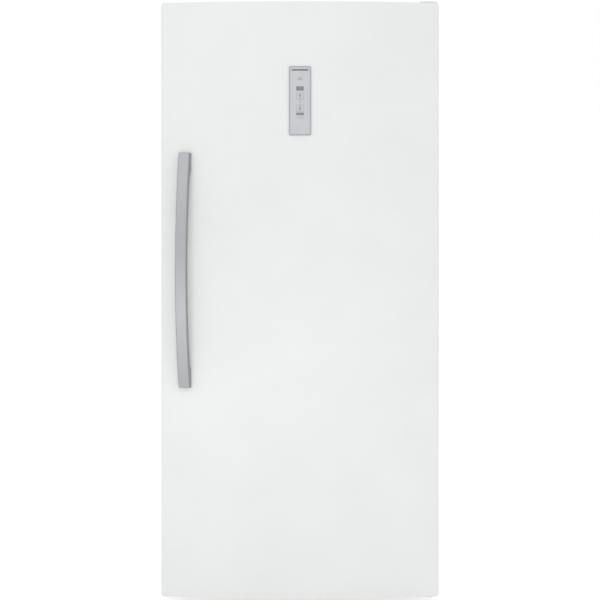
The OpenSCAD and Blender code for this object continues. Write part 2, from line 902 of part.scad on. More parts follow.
module compressor() {
    round_r = 24;
    placed() color("dimgray") translate([compressor_x, compressor_y, base_z]) {
        translate([0, 0, 3]) rotate_extrude() {
            square([compressor_r - round_r, compressor_h]);
            translate([0, round_r]) square([compressor_r, compressor_h - 2 * round_r]);
            for (z = [round_r, compressor_h - round_r])
                translate([compressor_r - round_r, z]) circle(round_r);
        }
        difference() {
            translate([-mount_x - 15, -mount_y - 15, 0]) cube([2 * mount_x + 30, 2 * mount_y + 30, 3.5]);
            for (x = [-1, 1], y = [-1, 1])
                translate([x * mount_x, y * mount_y, -eps]) cylinder(h = 6, r = 6);
        }
    }
}

module compressor_mounts() {
    placed() color("black") for (x = [-1, 1], y = [-1, 1])
        translate([compressor_x + x * mount_x, compressor_y + y * mount_y, deck_top]) {
            cylinder(h = mount_h, r = 13);
            cylinder(h = mount_h + 3.5, r = 5.9);
        }
}

module relay_cover() {
    x = compressor_x - compressor_r;
    placed() color("black") difference() {
        block([x - 32, compressor_y - 28, base_z + 34], [x + 10, compressor_y + 28, base_z + 98]);
        translate([compressor_x, compressor_y, base_z])
            cylinder(h = compressor_h, r = compressor_r + seat_gap);
        block([x - 29, compressor_y - 25, base_z + 37], [x + 11, compressor_y + 25, base_z + 95]);
    }
}

module condenser() {
    x0 = condenser_x[0];
    x1 = condenser_x[1];
    rows = condenser_rows;
    plate_t = 1.5;
    lip = condenser_lip;
    wire_in = 30;
    wire_over = 8;
    wire_h = (condenser_levels - 1) * condenser_pitch + 2 * wire_over;
    wires = floor((x1 - x0 - 2 * wire_in) / wire_pitch);
    wire_y = condenser_tube_r + 1.2;
    placed() color("dimgray") {
        for (y = rows) zigzag(x0 + lip, x1 - lip, y, condenser_low, condenser_pitch,
            condenser_levels, condenser_tube_r);
        for (x = [x0, x1 - plate_t]) block([x, rows[0] - lip, deck_top],
            [x + plate_t, rows[1] + lip, condenser_low + wire_h]);
        for (y = rows, i = [0:2]) rod_x(y, condenser_low + i * 2 * condenser_pitch, 2, x0, x1);
        for (y = rows, i = [0:wires]) translate([x0 + wire_in + i * wire_pitch, y, 0])
            block([0, -wire_y, condenser_low - wire_over],
                [wire_t, wire_t - wire_y, condenser_low - wire_over + wire_h]);
    }
}

suction_r = 4;
suction_x = coil_end + 25;
suction_y = room_back + 34;
suction_high = coil_top;
module suction_line(r) {
    tube_path([[coil_end, coil_y, suction_high], [suction_x, coil_y, suction_high],
        [suction_x, suction_y, suction_high], [suction_x, suction_y, base_z + 70],
        [compressor_x - 20, compressor_y + compressor_r - 8, base_z + 70]], r);
}

// Suction line down the back wall, discharge line, and the liquid line with its filter drier
module refrigerant_pipes() {
    y1 = condenser_rows[0];
    liquid_y = condenser_rows[1] + 5;
    plate_x = condenser_x[1];
    drier_ahead = 29;
    drier_len = 90;
    drier_x = plate_x + 22;
    drier_y = sheet_y - drier_ahead;
    drier_z = deck_top + 20;
    shell_x = compressor_x - 50;
    bend_x = compressor_x - 2 * compressor_r;
    hug_x = suction_x - suction_r - 2.1 - seat_gap;
    placed() color("peru") difference() {
        union() {
            suction_line(suction_r);
            tube_path([[shell_x, compressor_y - 20, base_z + 110],
                [shell_x - 35, compressor_y - 34, base_z + 110], [bend_x, y1, condenser_low - 20],
                [plate_x, y1, condenser_low - 20]], 2.5);
            tube_path([[plate_x, liquid_y, drier_z], [drier_x - 10, liquid_y, drier_z],
                [drier_x - 10, drier_y, drier_z], [drier_x + 2, drier_y, drier_z]], 2.5);
            rod_x(drier_y, drier_z, 9, drier_x, drier_x + drier_len);
            tube_path([[drier_x + drier_len - 2, drier_y, drier_z], [hug_x - 40, drier_y, drier_z],
                [hug_x, suction_y, drier_z + 30], [hug_x, suction_y, machine_top - 20]], 1.5);
        }
        translate([compressor_x, compressor_y, base_z + 3])
            cylinder(h = compressor_h, r = compressor_r + 0.1);
    }
}

module drain_pan() {
    lo = concat(pan_lo, deck_top);
    hi = concat(pan_hi, deck_top + pan_h);
    placed() color("black") difference() {
        block(lo, hi);
        block(lo + [2, 2, 2], hi + [-2, -2, eps]);
    }
}

module rear_cover() {
    half = half_w - 20;
    mid = (deck_top + machine_top) / 2;
    placed() color("gray") difference() {
        block([-half, sheet_y, deck_z], [half, sheet_y + cover_plate_t, machine_top]);
        front_plate(sheet_y - eps, sheet_y + cover_plate_t + eps)
            for (side = [-1, 1], i = [0:10], k = [-3:3])
            translate([side * (62 + i * 28), mid + k * 18]) round_rect(20, 6, 2.9);
        rod_y(-gland_x, gland_z, gland_neck_r, sheet_y - eps, cab_d);
        rear_screws(0);
    }
}

gland_x = half_w - 34;
gland_z = deck_top + 28;
gland_neck_r = gland_r + 3;
module cord_gland() {
    y0 = cab_d - 12;
    placed() color("black") difference() {
        union() {
            rod_y(-gland_x, gland_z, gland_neck_r, y0, cab_d);
            rod_y(-gland_x, gland_z, gland_neck_r + 3, y0, sheet_y - seat_gap);
            rod_y(-gland_x, gland_z, gland_neck_r + 3, sheet_y + cover_plate_t, cab_d);
        }
        rod_y(-gland_x, gland_z, gland_r, y0 - eps, cab_d + eps);
    }
}

// Rollers and legs

module roller(x) {
    placed() color("dimgray") difference() {
        rod_x(roller_y, roller_r, roller_r, x - roller_w / 2, x + roller_w / 2);
        rod_x(roller_y, roller_r, axle_r + run_fit, x - roller_w, x + roller_w);
    }
}

module left_roller() {
    roller(-roller_x);
}

module right_roller() {
    roller(roller_x);
}

module roller_brackets() {
    cheek = roller_w / 2 + 1;
    half = cheek_t / 2;
    placed() color("silver") both_sides() {
        for (side = [-1, 1]) translate([roller_x + side * (cheek + half), 0, 0])
            block([-half, roller_y - cheek_half, roller_r - 8], [half, roller_y + cheek_half, deck_z]);
        rod_x(roller_y, roller_r, axle_r, roller_x - cheek - cheek_t - 1,
            roller_x + cheek + cheek_t + 1);
    }
}

module leg(x) {
    placed() color("silver") translate([x, leg_y, 0]) {
        cylinder(h = leg_foot_h, r = leg_foot_r);
        cylinder(h = leg_foot_h + 7, r = 9, $fn = 6);
        cylinder(h = leg_boss_top - 5, r = leg_screw_r);
    }
}

module left_leg() {
    leg(-leg_x);
}

module right_leg() {
    leg(leg_x);
}

// Hinges

module top_hinge_screws(head_r) {
    for (p = hinge_screws) translate([hinge_x + p[0], p[1], cab_top - 9]) {
        cylinder(h = 9 + hinge_t, r = 2.5);
        if (head_r > 0) translate([0, 0, 9 + hinge_t]) cylinder(h = 2.5, r = head_r);
    }
}

module low_hinge_screws(head_r) {
    for (p = low_screws) translate([hinge_x + p[0], p[1], low_plate_z]) {
        cylinder(h = low_plate_t + 9, r = 2.5);
        if (head_r > 0) translate([0, 0, -3.5]) cylinder(h = 3.5, r = head_r, $fn = 6);
    }
}

module rear_screws(head_r) {
    outer_x = half_w - 89;
    for (i = [-3:2:3], z = [deck_top + 8, machine_top - 8]) {
        x = i * outer_x / 3;
        rod_y(x, z, 2, sheet_y - 5, sheet_y + cover_plate_t);
        if (head_r > 0) rod_y(x, z, head_r, sheet_y + cover_plate_t, sheet_y + cover_plate_t + 2);
    }
}

module cabinet_screws() {
    placed() color("silver") {
        top_hinge_screws(5);
        low_hinge_screws(5.5);
        rear_screws(4.2);
    }
}

module top_hinge() {
    nose = hinge_nose_r;
    placed() color("silver") difference() {
        union() {
            translate([hinge_x, hinge_y, plate_z]) cylinder(h = hinge_t, r = nose);
            block([hinge_x - nose, hinge_y, plate_z], [hinge_x + nose, hinge_t, plate_z + hinge_t]);
            block([hinge_x - nose, 0, cab_top], [hinge_x + nose, hinge_t, plate_z + hinge_t]);
            block([hinge_x - nose, 0, cab_top],
                [hinge_x + nose, cover_back_y - 8, cab_top + hinge_t]);
            translate([hinge_x, hinge_y, plate_z - pin_len]) cylinder(h = pin_len + hinge_t, r = pin_r);
        }
        top_hinge_screws(0);
    }
}

module hinge_cover_profile(inset, low) {
    right = half_w - 1 - inset;
    left = half_w - 1 - cover_w + inset;
    top = cover_top - inset;
    r = cover_shoulder_r - inset;
    left_r = 5 - inset;
    translate([left, low]) square([right - r - left, top - left_r - low]);
    translate([left + left_r, low]) square([right - r - left - left_r, top - low]);
    translate([right - r, low]) square([r, top - r - low]);
    translate([left + left_r, top - left_r]) circle(left_r);
    intersection() {
        translate([right - r, top - r]) circle(r);
        translate([right - r, low]) square([r + eps, top - low + eps]);
    }
}

module hinge_cover() {
    floor_z = door_top + 1.1;
    placed() color("white") difference() {
        front_plate(cover_front_y, cover_back_y) hinge_cover_profile(0, cab_top);
        front_plate(cover_front_y + cover_shell, cover_back_y - cover_shell)
            hinge_cover_profile(cover_shell, cab_top - eps);
        block([half_w - 2 * cover_w, cover_front_y - eps, cab_top - eps],
            [half_w + eps, -0.2, floor_z]);
    }
}

module bottom_hinge() {
    nose = hinge_nose_r;
    placed() color("silver") difference() {
        union() {
            translate([hinge_x, hinge_y, low_plate_z]) cylinder(h = low_plate_t, r = nose);
            block([hinge_x - nose, hinge_y, low_plate_z], [hinge_x + nose, 5, cab_bottom]);
            block([hinge_x - nose - 14, 4, low_plate_z], [hinge_x + nose + 8, 60, cab_bottom]);
            translate([hinge_x, hinge_y, low_plate_z]) cylinder(h = low_plate_t + pin_len, r = pin_r);
        }
        low_hinge_screws(0);
    }
}

// Door

// Door seen from above: bowed front, round vertical edges, straight back at y = back
module door_plan(inset, back) {
    r = door_edge_r - inset;
    big_r = bow_r - inset;
    join_x = edge_x * big_r / (bow_r - door_edge_r);
    intersection() {
        translate([0, bow_y]) circle(big_r, $fn = 900);
        translate([-join_x, door_front_y - eps]) square([2 * join_x, back - door_front_y + eps]);
    }
    for (side = [-1, 1]) translate([side * edge_x, edge_y]) {
        circle(r);
        translate([side > 0 ? 0 : -r, 0]) square([r, back - edge_y]);
    }
}

// Limits the door's pieces to its outline seen from the front
module door_outline() {
    intersection() {
        children();
        front_plate(door_front_y - 10, door_back_y + 10)
            translate([0, door_mid_z]) round_rect(body_w, door_h, door_corner_r);
    }
}

module handle_holes(r) {
    for (side = [-1, 1])
        rod_y(-handle_x, handle_mid_z + side * (handle_len / 2 - stud_in), r,
            door_front_y - eps, door_back_y - 30);
}

module door_skin() {
    placed() color("white") difference() {
        union() {
            door_outline() translate([0, 0, door_bottom]) linear_extrude(door_h) difference() {
                door_plan(0, door_back_y);
                door_plan(skin_t, door_back_y + eps);
            }
            both_sides() block([half_w - 20, door_liner_y, door_bottom + cap_h],
                [half_w - skin_t / 2, door_back_y, door_top - cap_h]);
        }
        translate([0, 0, panel_mid_z]) front_plate(door_front_y - eps, door_edge_y)
            round_rect(panel_inner_w + 1, panel_inner_h + 1, 3);
        handle_holes(stud_r + seat_gap);
    }
}

// Tray that closes one end of the door, hanging from z = 0, with the boss for the hinge bush
module end_cap() {
    difference() {
        union() {
            translate([0, 0, -cap_h]) linear_extrude(cap_h) difference() {
                door_plan(skin_t, door_back_y);
                door_plan(skin_t + cap_t, door_back_y - cap_t);
            }
            translate([0, 0, -cap_t]) linear_extrude(cap_t) door_plan(skin_t, door_back_y);
            translate([hinge_x, hinge_y, -boss_h]) cylinder(h = boss_h, r = bush_r + 4);
        }
        translate([hinge_x, hinge_y, -boss_h - eps]) cylinder(h = boss_h + 2 * eps, r = bush_r);
    }
}

module door_end_caps() {
    placed() color("white") door_outline() {
        translate([0, 0, door_top]) end_cap();
        translate([0, 0, door_bottom]) mirror([0, 0, 1]) end_cap();
    }
}

module bush_bores(r, reach) {
    translate([hinge_x, hinge_y, door_top - reach]) cylinder(h = reach + eps, r = r);
    translate([hinge_x, hinge_y, door_bottom - eps]) cylinder(h = reach + eps, r = r);
}

module hinge_bushes() {
    low_flange = door_bottom - cab_bottom - 0.1;
    placed() color("ivory") difference() {
        union() {
            bush_bores(bush_r - 0.02, boss_h);
            translate([hinge_x, hinge_y, door_top]) cylinder(h = 1.2, r = bush_flange_r);
            translate([hinge_x, hinge_y, door_bottom - low_flange])
                cylinder(h = low_flange, r = bush_flange_r);
        }
        translate([hinge_x, hinge_y, door_bottom - 2 * low_flange])
            cylinder(h = door_h, r = pin_r + run_fit);
        translate([hinge_x, hinge_y, door_top - boss_h - eps])
            cylinder(h = 2 * boss_h, r = pin_r + run_fit);
    }
}

// Hollow of the raised frame on the door's inner liner, or its outside
module dyke_frame(wall, y0, y1) {
    difference() {
        block([-dyke_half + wall, y0, dyke_bottom + wall], [dyke_half - wall, y1, dyke_top - wall]);
        block([-dyke_inner - wall, y0 - eps, dyke_bottom + dyke_w - wall],
            [dyke_inner + wall, y1 + eps, dyke_top - dyke_w + wall]);
    }
}

module door_foam() {
    low = door_bottom + cap_h;
    high = door_top - cap_h;
    placed() color("khaki") difference() {
        union() {
            translate([0, 0, low]) linear_extrude(high - low)
                door_plan(skin_t + foam_gap, door_foam_y);
            translate([0, 0, door_bottom + cap_t]) linear_extrude(door_h - 2 * cap_t)
                door_plan(skin_t + cap_t + foam_gap, door_back_y - cap_t - skin_t);
            dyke_frame(liner_t, door_foam_y - eps, dyke_reach - liner_t);
        }
        block([-half_w, door_foam_y, low], [half_w, door_back_y, dyke_bottom + liner_t]);
        block([-half_w, door_foam_y, dyke_top - liner_t], [half_w, door_back_y, high]);
        both_sides() block([dyke_half - liner_t, door_foam_y, low], [half_w, door_back_y, high]);
        block([-dyke_inner - liner_t, door_foam_y, dyke_bottom + dyke_w - liner_t],
            [dyke_inner + liner_t, door_back_y, dyke_top - dyke_w + liner_t]);
        bush_bores(bush_r + 4, boss_h);
        translate([0, 0, panel_mid_z]) front_plate(door_front_y - eps, panel_back_y)
            round_rect(panel_inner_w, panel_inner_h, 3);
        handle_stud_bodies();
    }
}

module door_liner() {
    wide = half_w - skin_t;
    placed() color("white") {
        difference() {
            union() {
                block([-wide, door_foam_y, door_bottom + cap_h], [wide, door_liner_y, door_top - cap_h]);
                dyke_frame(0, door_foam_y, dyke_reach);
            }
            dyke_frame(liner_t, door_foam_y - eps, dyke_reach - liner_t);
        }
        both_sides() for (z = bin_levels) block([dyke_inner - lug_w, lug_y, z + lug_low],
            [dyke_inner + 1, lug_y + lug_d, z + lug_high]);
    }
}

module door_gasket() {
    outer = room_half + gasket_w;
    low = room_floor - gasket_w;
    high = room_top + gasket_w;
    placed() color("white") difference() {
        block([-outer, door_liner_y, low], [outer, -0.2, high]);
        block([-room_half, door_liner_y - eps, room_floor], [room_half, eps, room_top]);
        block([-outer - eps, -6, low + 4], [-outer + 3, -3, high - 4]);
        block([outer - 3, -6, low + 4], [outer + eps, -3, high - 4]);
    }
}

// Handle

// Side view of the handle's upper foot, from the bar back past the door's face
module foot_outline() {
    top = handle_len / 2;
    polygon([[handle_y + handle_bow + handle_t / 2, top], [door_back_y, top],
        [door_back_y, top - handle_foot_h],
        [door_edge_y - 2, top - handle_foot_h],
        [handle_y + handle_bow * 0.75 + handle_t / 2, top - handle_foot_h * 1.7]]);
}

// Leans the handle's bow towards the door's left side, from the door's face outwards
module leaned() {
    foot_y = bow_y - sqrt(bow_r * bow_r - handle_x * handle_x);
    lean = tan(handle_lean);
    multmatrix([[1, lean, 0, -lean * foot_y], [0, 1, 0, 0], [0, 0, 1, 0], [0, 0, 0, 1]]) children();
}

module handle() {
    placed() color("lightslategray") difference() {
        leaned() intersection() {
            translate([-handle_x, 0, handle_mid_z]) {
                translate([0, handle_y + handle_r, 0]) rotate([0, 90, 0])
                    rotate([0, 0, -90 - handle_angle / 2]) rotate_extrude(angle = handle_angle, $fn = 720)
                    translate([handle_r - handle_t / 2, 0])
                    round_rect(handle_t, handle_w, handle_edge_r);
                side_extrude(0, handle_w - 4) foot_outline();
                mirror([0, 0, 1]) side_extrude(0, handle_w - 4) foot_outline();
            }
            front_plate(handle_y - eps, door_back_y) translate([-handle_x, handle_mid_z])
                round_rect(handle_w + 2, handle_len, handle_edge_r + 1);
        }
        translate([0, bow_y, handle_mid_z - handle_len])
            cylinder(h = 2 * handle_len, r = bow_r + 0.2, $fn = 900);
        handle_stud_bodies();
    }
}

module handle_stud_bodies() {
    skin_y = bow_y - sqrt(bow_r * bow_r - handle_x * handle_x);
    for (side = [-1, 1]) {
        z = handle_mid_z + side * (handle_len / 2 - stud_in);
        rod_y(-handle_x, z, stud_r, skin_y - 16, skin_y + stud_len - 16);
        rod_y(-handle_x, z, 8, skin_y + 4, skin_y + 7);
    }
}

module handle_studs() {
    placed() color("silver") handle_stud_bodies();
}

// Control panel

module button_hole(w, h, z) {
    translate([0, 0, z]) front_plate(face_y - eps, door_front_y + 3)
        round_rect(w + 0.6, h + 0.6, 2);
}

module panel_bezel() {
    placed() color("silver") difference() {
        union() {
            translate([0, 0, panel_mid_z]) front_plate(door_front_y - panel_proud, door_front_y - 0.3)
                round_rect(panel_w, panel_h, 4);
            translate([0, 0, panel_mid_z]) front_plate(door_front_y - 0.4, panel_back_y)
                round_rect(panel_inner_w, panel_inner_h, 3);
        }
        translate([0, 0, panel_mid_z]) front_plate(door_front_y - panel_proud - eps, face_y)
            round_rect(panel_inner_w, panel_inner_h, 3);
        translate([0, 0, panel_mid_z]) front_plate(face_y + face_t, panel_back_y + eps)
            round_rect(panel_inner_w - 2 * panel_wall, panel_inner_h - 2 * panel_wall, 1);
        button_hole(display_w - 0.4, display_h - 0.4, display_z);
        button_hole(button_w, button_h, up_z);
        button_hole(button_w, button_h, down_z);
        button_hole(display_w, mode_h, mode_z);
        rod_y(0, lamp_z, 1.5 + 0.1, face_y - eps, door_front_y + 3);
    }
}

// Display window and the small lamp between the buttons
module panel_window() {
    placed() color("black") {
        translate([0, 0, display_z]) front_plate(face_y + 0.1, face_y + face_t + 0.4)
            round_rect(display_w, display_h, 2);
        rod_y(0, lamp_z, 1.5, face_y - 0.2, board_y - 0.2);
    }
}

module push_button(w, h, z) {
    translate([0, 0, z]) {
        front_plate(face_y - 1, face_y + face_t + 1) round_rect(w, h, 1.7);
        front_plate(face_y + face_t, board_y - 1.6 - button_travel) square([6, 5], center = true);
    }
}

module up_button() {
    placed() color("lightsteelblue") push_button(button_w, button_h, up_z);
}

module down_button() {
    placed() color("lightsteelblue") push_button(button_w, button_h, down_z);
}

module mode_button() {
    placed() color("darkslategray") push_button(display_w - 0.6, mode_h, mode_z);
}

module control_board() {
    w = panel_inner_w - 2 * panel_wall - 0.6;
    placed() color("seagreen") {
        translate([0, 0, panel_mid_z]) front_plate(board_y, board_y + 1.6)
            square([w, panel_inner_h - 2 * panel_wall - 0.6], center = true);
        for (z = [up_z, down_z, mode_z])
            translate([0, 0, z]) front_plate(board_y - 1.6, board_y + eps) square([7, 6], center = true);
        translate([0, 0, display_z]) front_plate(face_y + face_t + 0.6, board_y + eps)
            square([display_w + 4, display_h + 2], center = true);
        translate([8, 0, panel_mid_z - 66]) front_plate(board_y - 4, board_y + eps)
            square([22, 30], center = true);
    }
}

// Door bins

module bin_plan(inset) {
    r = 14 - inset;
    y0 = bin_back + inset;
    y1 = bin_reach - inset;
    half = bin_half - inset;
    translate([-half, y0]) square([2 * half, y1 - y0 - r]);
    translate([-half + r, y0]) square([2 * (half - r), y1 - y0]);
    for (side = [-1, 1]) translate([side * (half - r), y1 - r]) circle(r);
}

// Open tray with a hooked pocket at each end that drops over the door liner's lug
module door_bin(z) {
    hook_y0 = lug_y - 4;
    hook_y1 = lug_y + lug_d + 4;
    hook_x = dyke_inner - 0.6;
    placed() color("aliceblue", 0.5) translate([0, 0, z]) {
        difference() {
            linear_extrude(bin_h) bin_plan(0);
            translate([0, 0, tray_wall]) linear_extrude(bin_h) bin_plan(tray_wall);
        }
        both_sides() {
            block([bin_half - 1, hook_y0, lug_high], [hook_x, hook_y1, lug_high + 6]);
            for (y = [hook_y0, hook_y1 - 3.7])
                block([bin_half - 1, y, lug_low], [hook_x, y + 3.7, lug_high + 1]);
        }
    }
}

module top_door_bin() {
    door_bin(bin_levels[0]);
}

module upper_door_bin() {
    door_bin(bin_levels[1]);
}

module lower_door_bin() {
    door_bin(bin_levels[2]);
}

module bottom_door_bin() {
    door_bin(bin_levels[3]);
}

left_side_panel();
right_side_panel();
top_panel();
back_panel();
base_rail();
machine_deck();
cabinet_foam();
cabinet_liner();
shelf_frames();
glass_panes();
deli_cover();
crisper_cover();
light_lens();
light_board();
evaporator_cover();
evaporator();
drain_trough();
fan_motors();
evaporator_fan();
condenser_fan();
compressor();
compressor_mounts();
relay_cover();
condenser();
refrigerant_pipes();
drain_pan();
rear_cover();
cord_gland();
roller_brackets();
left_roller();
right_roller();
left_leg();
right_leg();
top_hinge();
hinge_cover();
bottom_hinge();
cabinet_screws();
door_skin();
door_foam();
door_liner();
door_end_caps();
door_gasket();
hinge_bushes();
handle();
handle_studs();
panel_bezel();
panel_window();
control_board();
up_button();
down_button();
mode_button();
top_door_bin();
upper_door_bin();
lower_door_bin();
bottom_door_bin();
left_crisper();
right_crisper();
deli_drawer();
left_humidity_slider();
right_humidity_slider();
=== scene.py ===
# %% [markdown]
# # An upright refrigerator without a freezer
# The real object is a tall steel cabinet with a plastic inside, closed by one wide door whose
# front is rolled to a gentle bow. A silver bar handle stands on the door's left side and a slim
# control panel sits high in its middle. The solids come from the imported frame, in metres, with
# the origin on the floor below the middle of the refrigerator. This script gives them their
# finishes and adds the forms that are easier to shape in Blender.

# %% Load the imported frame
import json
import math

import bmesh
import bpy
from mathutils import Matrix, Vector


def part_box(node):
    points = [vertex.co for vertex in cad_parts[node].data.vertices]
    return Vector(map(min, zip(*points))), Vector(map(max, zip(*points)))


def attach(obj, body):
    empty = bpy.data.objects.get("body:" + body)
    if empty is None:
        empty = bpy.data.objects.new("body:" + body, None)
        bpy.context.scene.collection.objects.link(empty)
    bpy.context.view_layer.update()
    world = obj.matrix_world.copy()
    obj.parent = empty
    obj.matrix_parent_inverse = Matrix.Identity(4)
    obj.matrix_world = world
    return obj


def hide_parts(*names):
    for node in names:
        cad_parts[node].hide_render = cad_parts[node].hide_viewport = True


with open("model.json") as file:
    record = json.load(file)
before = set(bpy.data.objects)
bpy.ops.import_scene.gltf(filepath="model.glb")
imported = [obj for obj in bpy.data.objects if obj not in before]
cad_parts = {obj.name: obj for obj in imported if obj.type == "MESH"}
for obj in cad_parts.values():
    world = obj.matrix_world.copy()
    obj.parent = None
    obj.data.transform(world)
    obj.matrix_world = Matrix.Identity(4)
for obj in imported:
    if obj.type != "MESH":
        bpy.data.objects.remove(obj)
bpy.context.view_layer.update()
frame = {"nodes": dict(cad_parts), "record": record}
scene = bpy.context.scene

# %% [markdown]
# ## Camera
# The photograph looks straight at the door from the front, so both of its sides stay upright.
# A level camera at the door's mid height keeps them so without any shift. The door's edges are
# 838 mm apart and cover 278 of the picture's 600 pixels, which gives the width of the view at
# the door, and a distance of 3 m gives the bow of the door's lower edge.

# %% Camera
EDGE_PLANE_Y = -0.3115
CAMERA_AHEAD = 3.0
CAMERA_HEIGHT = 0.930
VIEW_WIDTH = 1.808
SENSOR_MM = 36.0
camera_data = bpy.data.cameras.new("photo_camera")
camera_data.sensor_width = SENSOR_MM
camera_data.lens = SENSOR_MM * CAMERA_AHEAD / VIEW_WIDTH
camera = bpy.data.objects.new("photo_camera", camera_data)
camera.location = (0, EDGE_PLANE_Y - CAMERA_AHEAD, CAMERA_HEIGHT)
camera.rotation_euler = (math.radians(90), 0, 0)
scene.collection.objects.link(camera)
scene.camera = camera
print("lens", round(camera_data.lens, 2), "mm")

# %% [markdown]
# ## Helpers for materials
# A shader tree is a list of nodes with settings, values and links, so one small function adds
# any of them. Colours are written as the sRGB hex values that a picture shows, and one function
# turns them into the linear values that the renderer counts with. A third one starts a material
# with its shader, whose own sockets hold what is the same all over the piece.

# %% Colour and node helpers
def linear(hex_colour):
    parts = [int(hex_colour[i:i + 2], 16) / 255 for i in (1, 3, 5)]
    return [p / 12.92 if p <= 0.04045 else ((p + 0.055) / 1.055) ** 2.4 for p in parts] + [1.0]


def add(tree, kind, settings=None, values=None, links=None):
    node = tree.nodes.new(kind)
    for name, value in (settings or {}).items():
        setattr(node, name, value)
    for name, value in (values or {}).items():
        node.inputs[name].default_value = value
    for name, source in (links or {}).items():
        tree.links.new(source, node.inputs[name])
    return node


def start(name, hex_colour, **values):
    """A new material with a Principled shader; returns the material, its tree and the shader."""
    material = bpy.data.materials.new(name)
    material.use_nodes = True
    tree = material.node_tree
    tree.nodes.clear()
    named = {key.replace("_", " "): value for key, value in values.items()}
    named["Base Color"] = linear(hex_colour)
    shader = add(tree, "ShaderNodeBsdfPrincipled", values=named)
    add(tree, "ShaderNodeOutputMaterial", links={"Surface": shader.outputs[0]})
    return material, tree, shader


print("linear value of #808080:", round(linear("#808080")[0], 3))

# %% [markdown]
# ## Patterns at their real size
# Moulded plastic, paint and rolled metal all show three things close up: a colour that drifts by
# a percent or two, patches that are a little duller, and a fine relief. Each one is noise of a
# stated size in millimetres, so the same function serves every finish. Two more functions draw
# flat cells of slightly different tones, for zinc and flake paint, and painted shade: a darker
# band along an edge, where the edge turns away from the light. Object coordinates are in metres,
# so a pattern of s millimetres has a scale of 1000 / s.

# %% Colour drift, cells, dull patches, painted edge shade and relief
MM_IN_A_METRE = 1000
# A mix node has sockets for every kind of data, so those for colours are picked by number.
MIX_FACTOR, MIX_FIRST, MIX_SECOND, MIX_RESULT = 0, 6, 7, 2
# Noise seldom leaves this range, so the two colours of a drift stand at its ends.
NOISE_LOW, NOISE_HIGH = 0.3, 0.7


def noise(tree, size_mm, stretch=(1, 1, 1), detail=3.0):
    place = add(tree, "ShaderNodeTexCoord")
    turned = add(tree, "ShaderNodeMapping", values={"Scale": stretch},
                 links={"Vector": place.outputs["Object"]})
    values = {"Scale": MM_IN_A_METRE / size_mm, "Detail": detail}
    return add(tree, "ShaderNodeTexNoise", values=values,
               links={"Vector": turned.outputs[0]}).outputs[0]


def drift(tree, shader, first, second, size_mm, stretch=(1, 1, 1)):
    ramp = add(tree, "ShaderNodeValToRGB", links={"Fac": noise(tree, size_mm, stretch)})
    ramp.color_ramp.elements[0].position = NOISE_LOW
    ramp.color_ramp.elements[0].color = linear(first)
    ramp.color_ramp.elements[1].position = NOISE_HIGH
    ramp.color_ramp.elements[1].color = linear(second)
    tree.links.new(ramp.outputs[0], shader.inputs["Base Color"])


def cells(tree, shader, first, second, size_mm):
    """Flat cells, each in its own tone between two colours."""
    place = add(tree, "ShaderNodeTexCoord")
    pattern = add(tree, "ShaderNodeTexVoronoi", {"feature": "F1"},
                  {"Scale": MM_IN_A_METRE / size_mm}, {"Vector": place.outputs["Object"]})
    tone = add(tree, "ShaderNodeValToRGB", links={"Fac": pattern.outputs["Color"]})
    tone.color_ramp.elements[0].color = linear(first)
    tone.color_ramp.elements[1].color = linear(second)
    tree.links.new(tone.outputs[0], shader.inputs["Base Color"])


def dull(tree, shader, low, high, size_mm, stretch=(1, 1, 1)):
    span = add(tree, "ShaderNodeMapRange", values={"To Min": low, "To Max": high},
               links={"Value": noise(tree, size_mm, stretch)})
    tree.links.new(span.outputs[0], shader.inputs["Roughness"])


def painted_shade_from(tree, shader, colour, direction, centre, low, high):
    """Painted shade: mixes a darker colour in along a direction, from low to high metres away
    from a centre.
    """
    place = add(tree, "ShaderNodeTexCoord")
    along = add(tree, "ShaderNodeVectorMath", {"operation": "DOT_PRODUCT"}, {1: direction},
                {0: place.outputs["Object"]})
    away = add(tree, "ShaderNodeMath", {"operation": "SUBTRACT"}, {1: centre},
               {0: along.outputs["Value"]})
    size = add(tree, "ShaderNodeMath", {"operation": "ABSOLUTE"}, links={0: away.outputs[0]})
    span = add(tree, "ShaderNodeMapRange", values={"From Min": low, "From Max": high},
               links={"Value": size.outputs[0]})
    plain = shader.inputs["Base Color"].links[0].from_socket
    mix = add(tree, "ShaderNodeMix", {"data_type": "RGBA"}, {MIX_SECOND: linear(colour)},
              {MIX_FACTOR: span.outputs[0], MIX_FIRST: plain})
    tree.links.new(mix.outputs[MIX_RESULT], shader.inputs["Base Color"])


def relief(tree, shader, height, depth_mm, strength=1.0):
    values = {"Distance": depth_mm / MM_IN_A_METRE, "Strength": strength}
    bump = add(tree, "ShaderNodeBump", values=values, links={"Height": height})
    tree.links.new(bump.outputs[0], shader.inputs["Normal"])


print("scale of a 3 mm pattern:", round(MM_IN_A_METRE / 3))

# %% [markdown]
# ## Stage and light
# The photograph has a white ground and very soft light, a little stronger from the left, which
# leaves a soft shadow on the right of the handle. The world and the floor are white to the
# camera, to reflections and to glass, and light the object at a plain level. The floor is half
# real surface, so that it keeps the object's shadow.

# %% World and floor
AMBIENT, SHOWN = 0.815, 1.0
FLOOR_GLOW, GLOW_SHARE = 1.4, 0.5
FLOOR_HALF = 30


def seen_directly(tree):
    """1 for camera, glossy and transmission rays, 0 for the rays that carry light."""
    path = add(tree, "ShaderNodeLightPath")
    glossy = add(tree, "ShaderNodeMath", {"operation": "MAXIMUM"}, links={
        0: path.outputs["Is Camera Ray"], 1: path.outputs["Is Glossy Ray"]})
    return add(tree, "ShaderNodeMath", {"operation": "MAXIMUM"}, links={
        0: glossy.outputs[0], 1: path.outputs["Is Transmission Ray"]}).outputs[0]


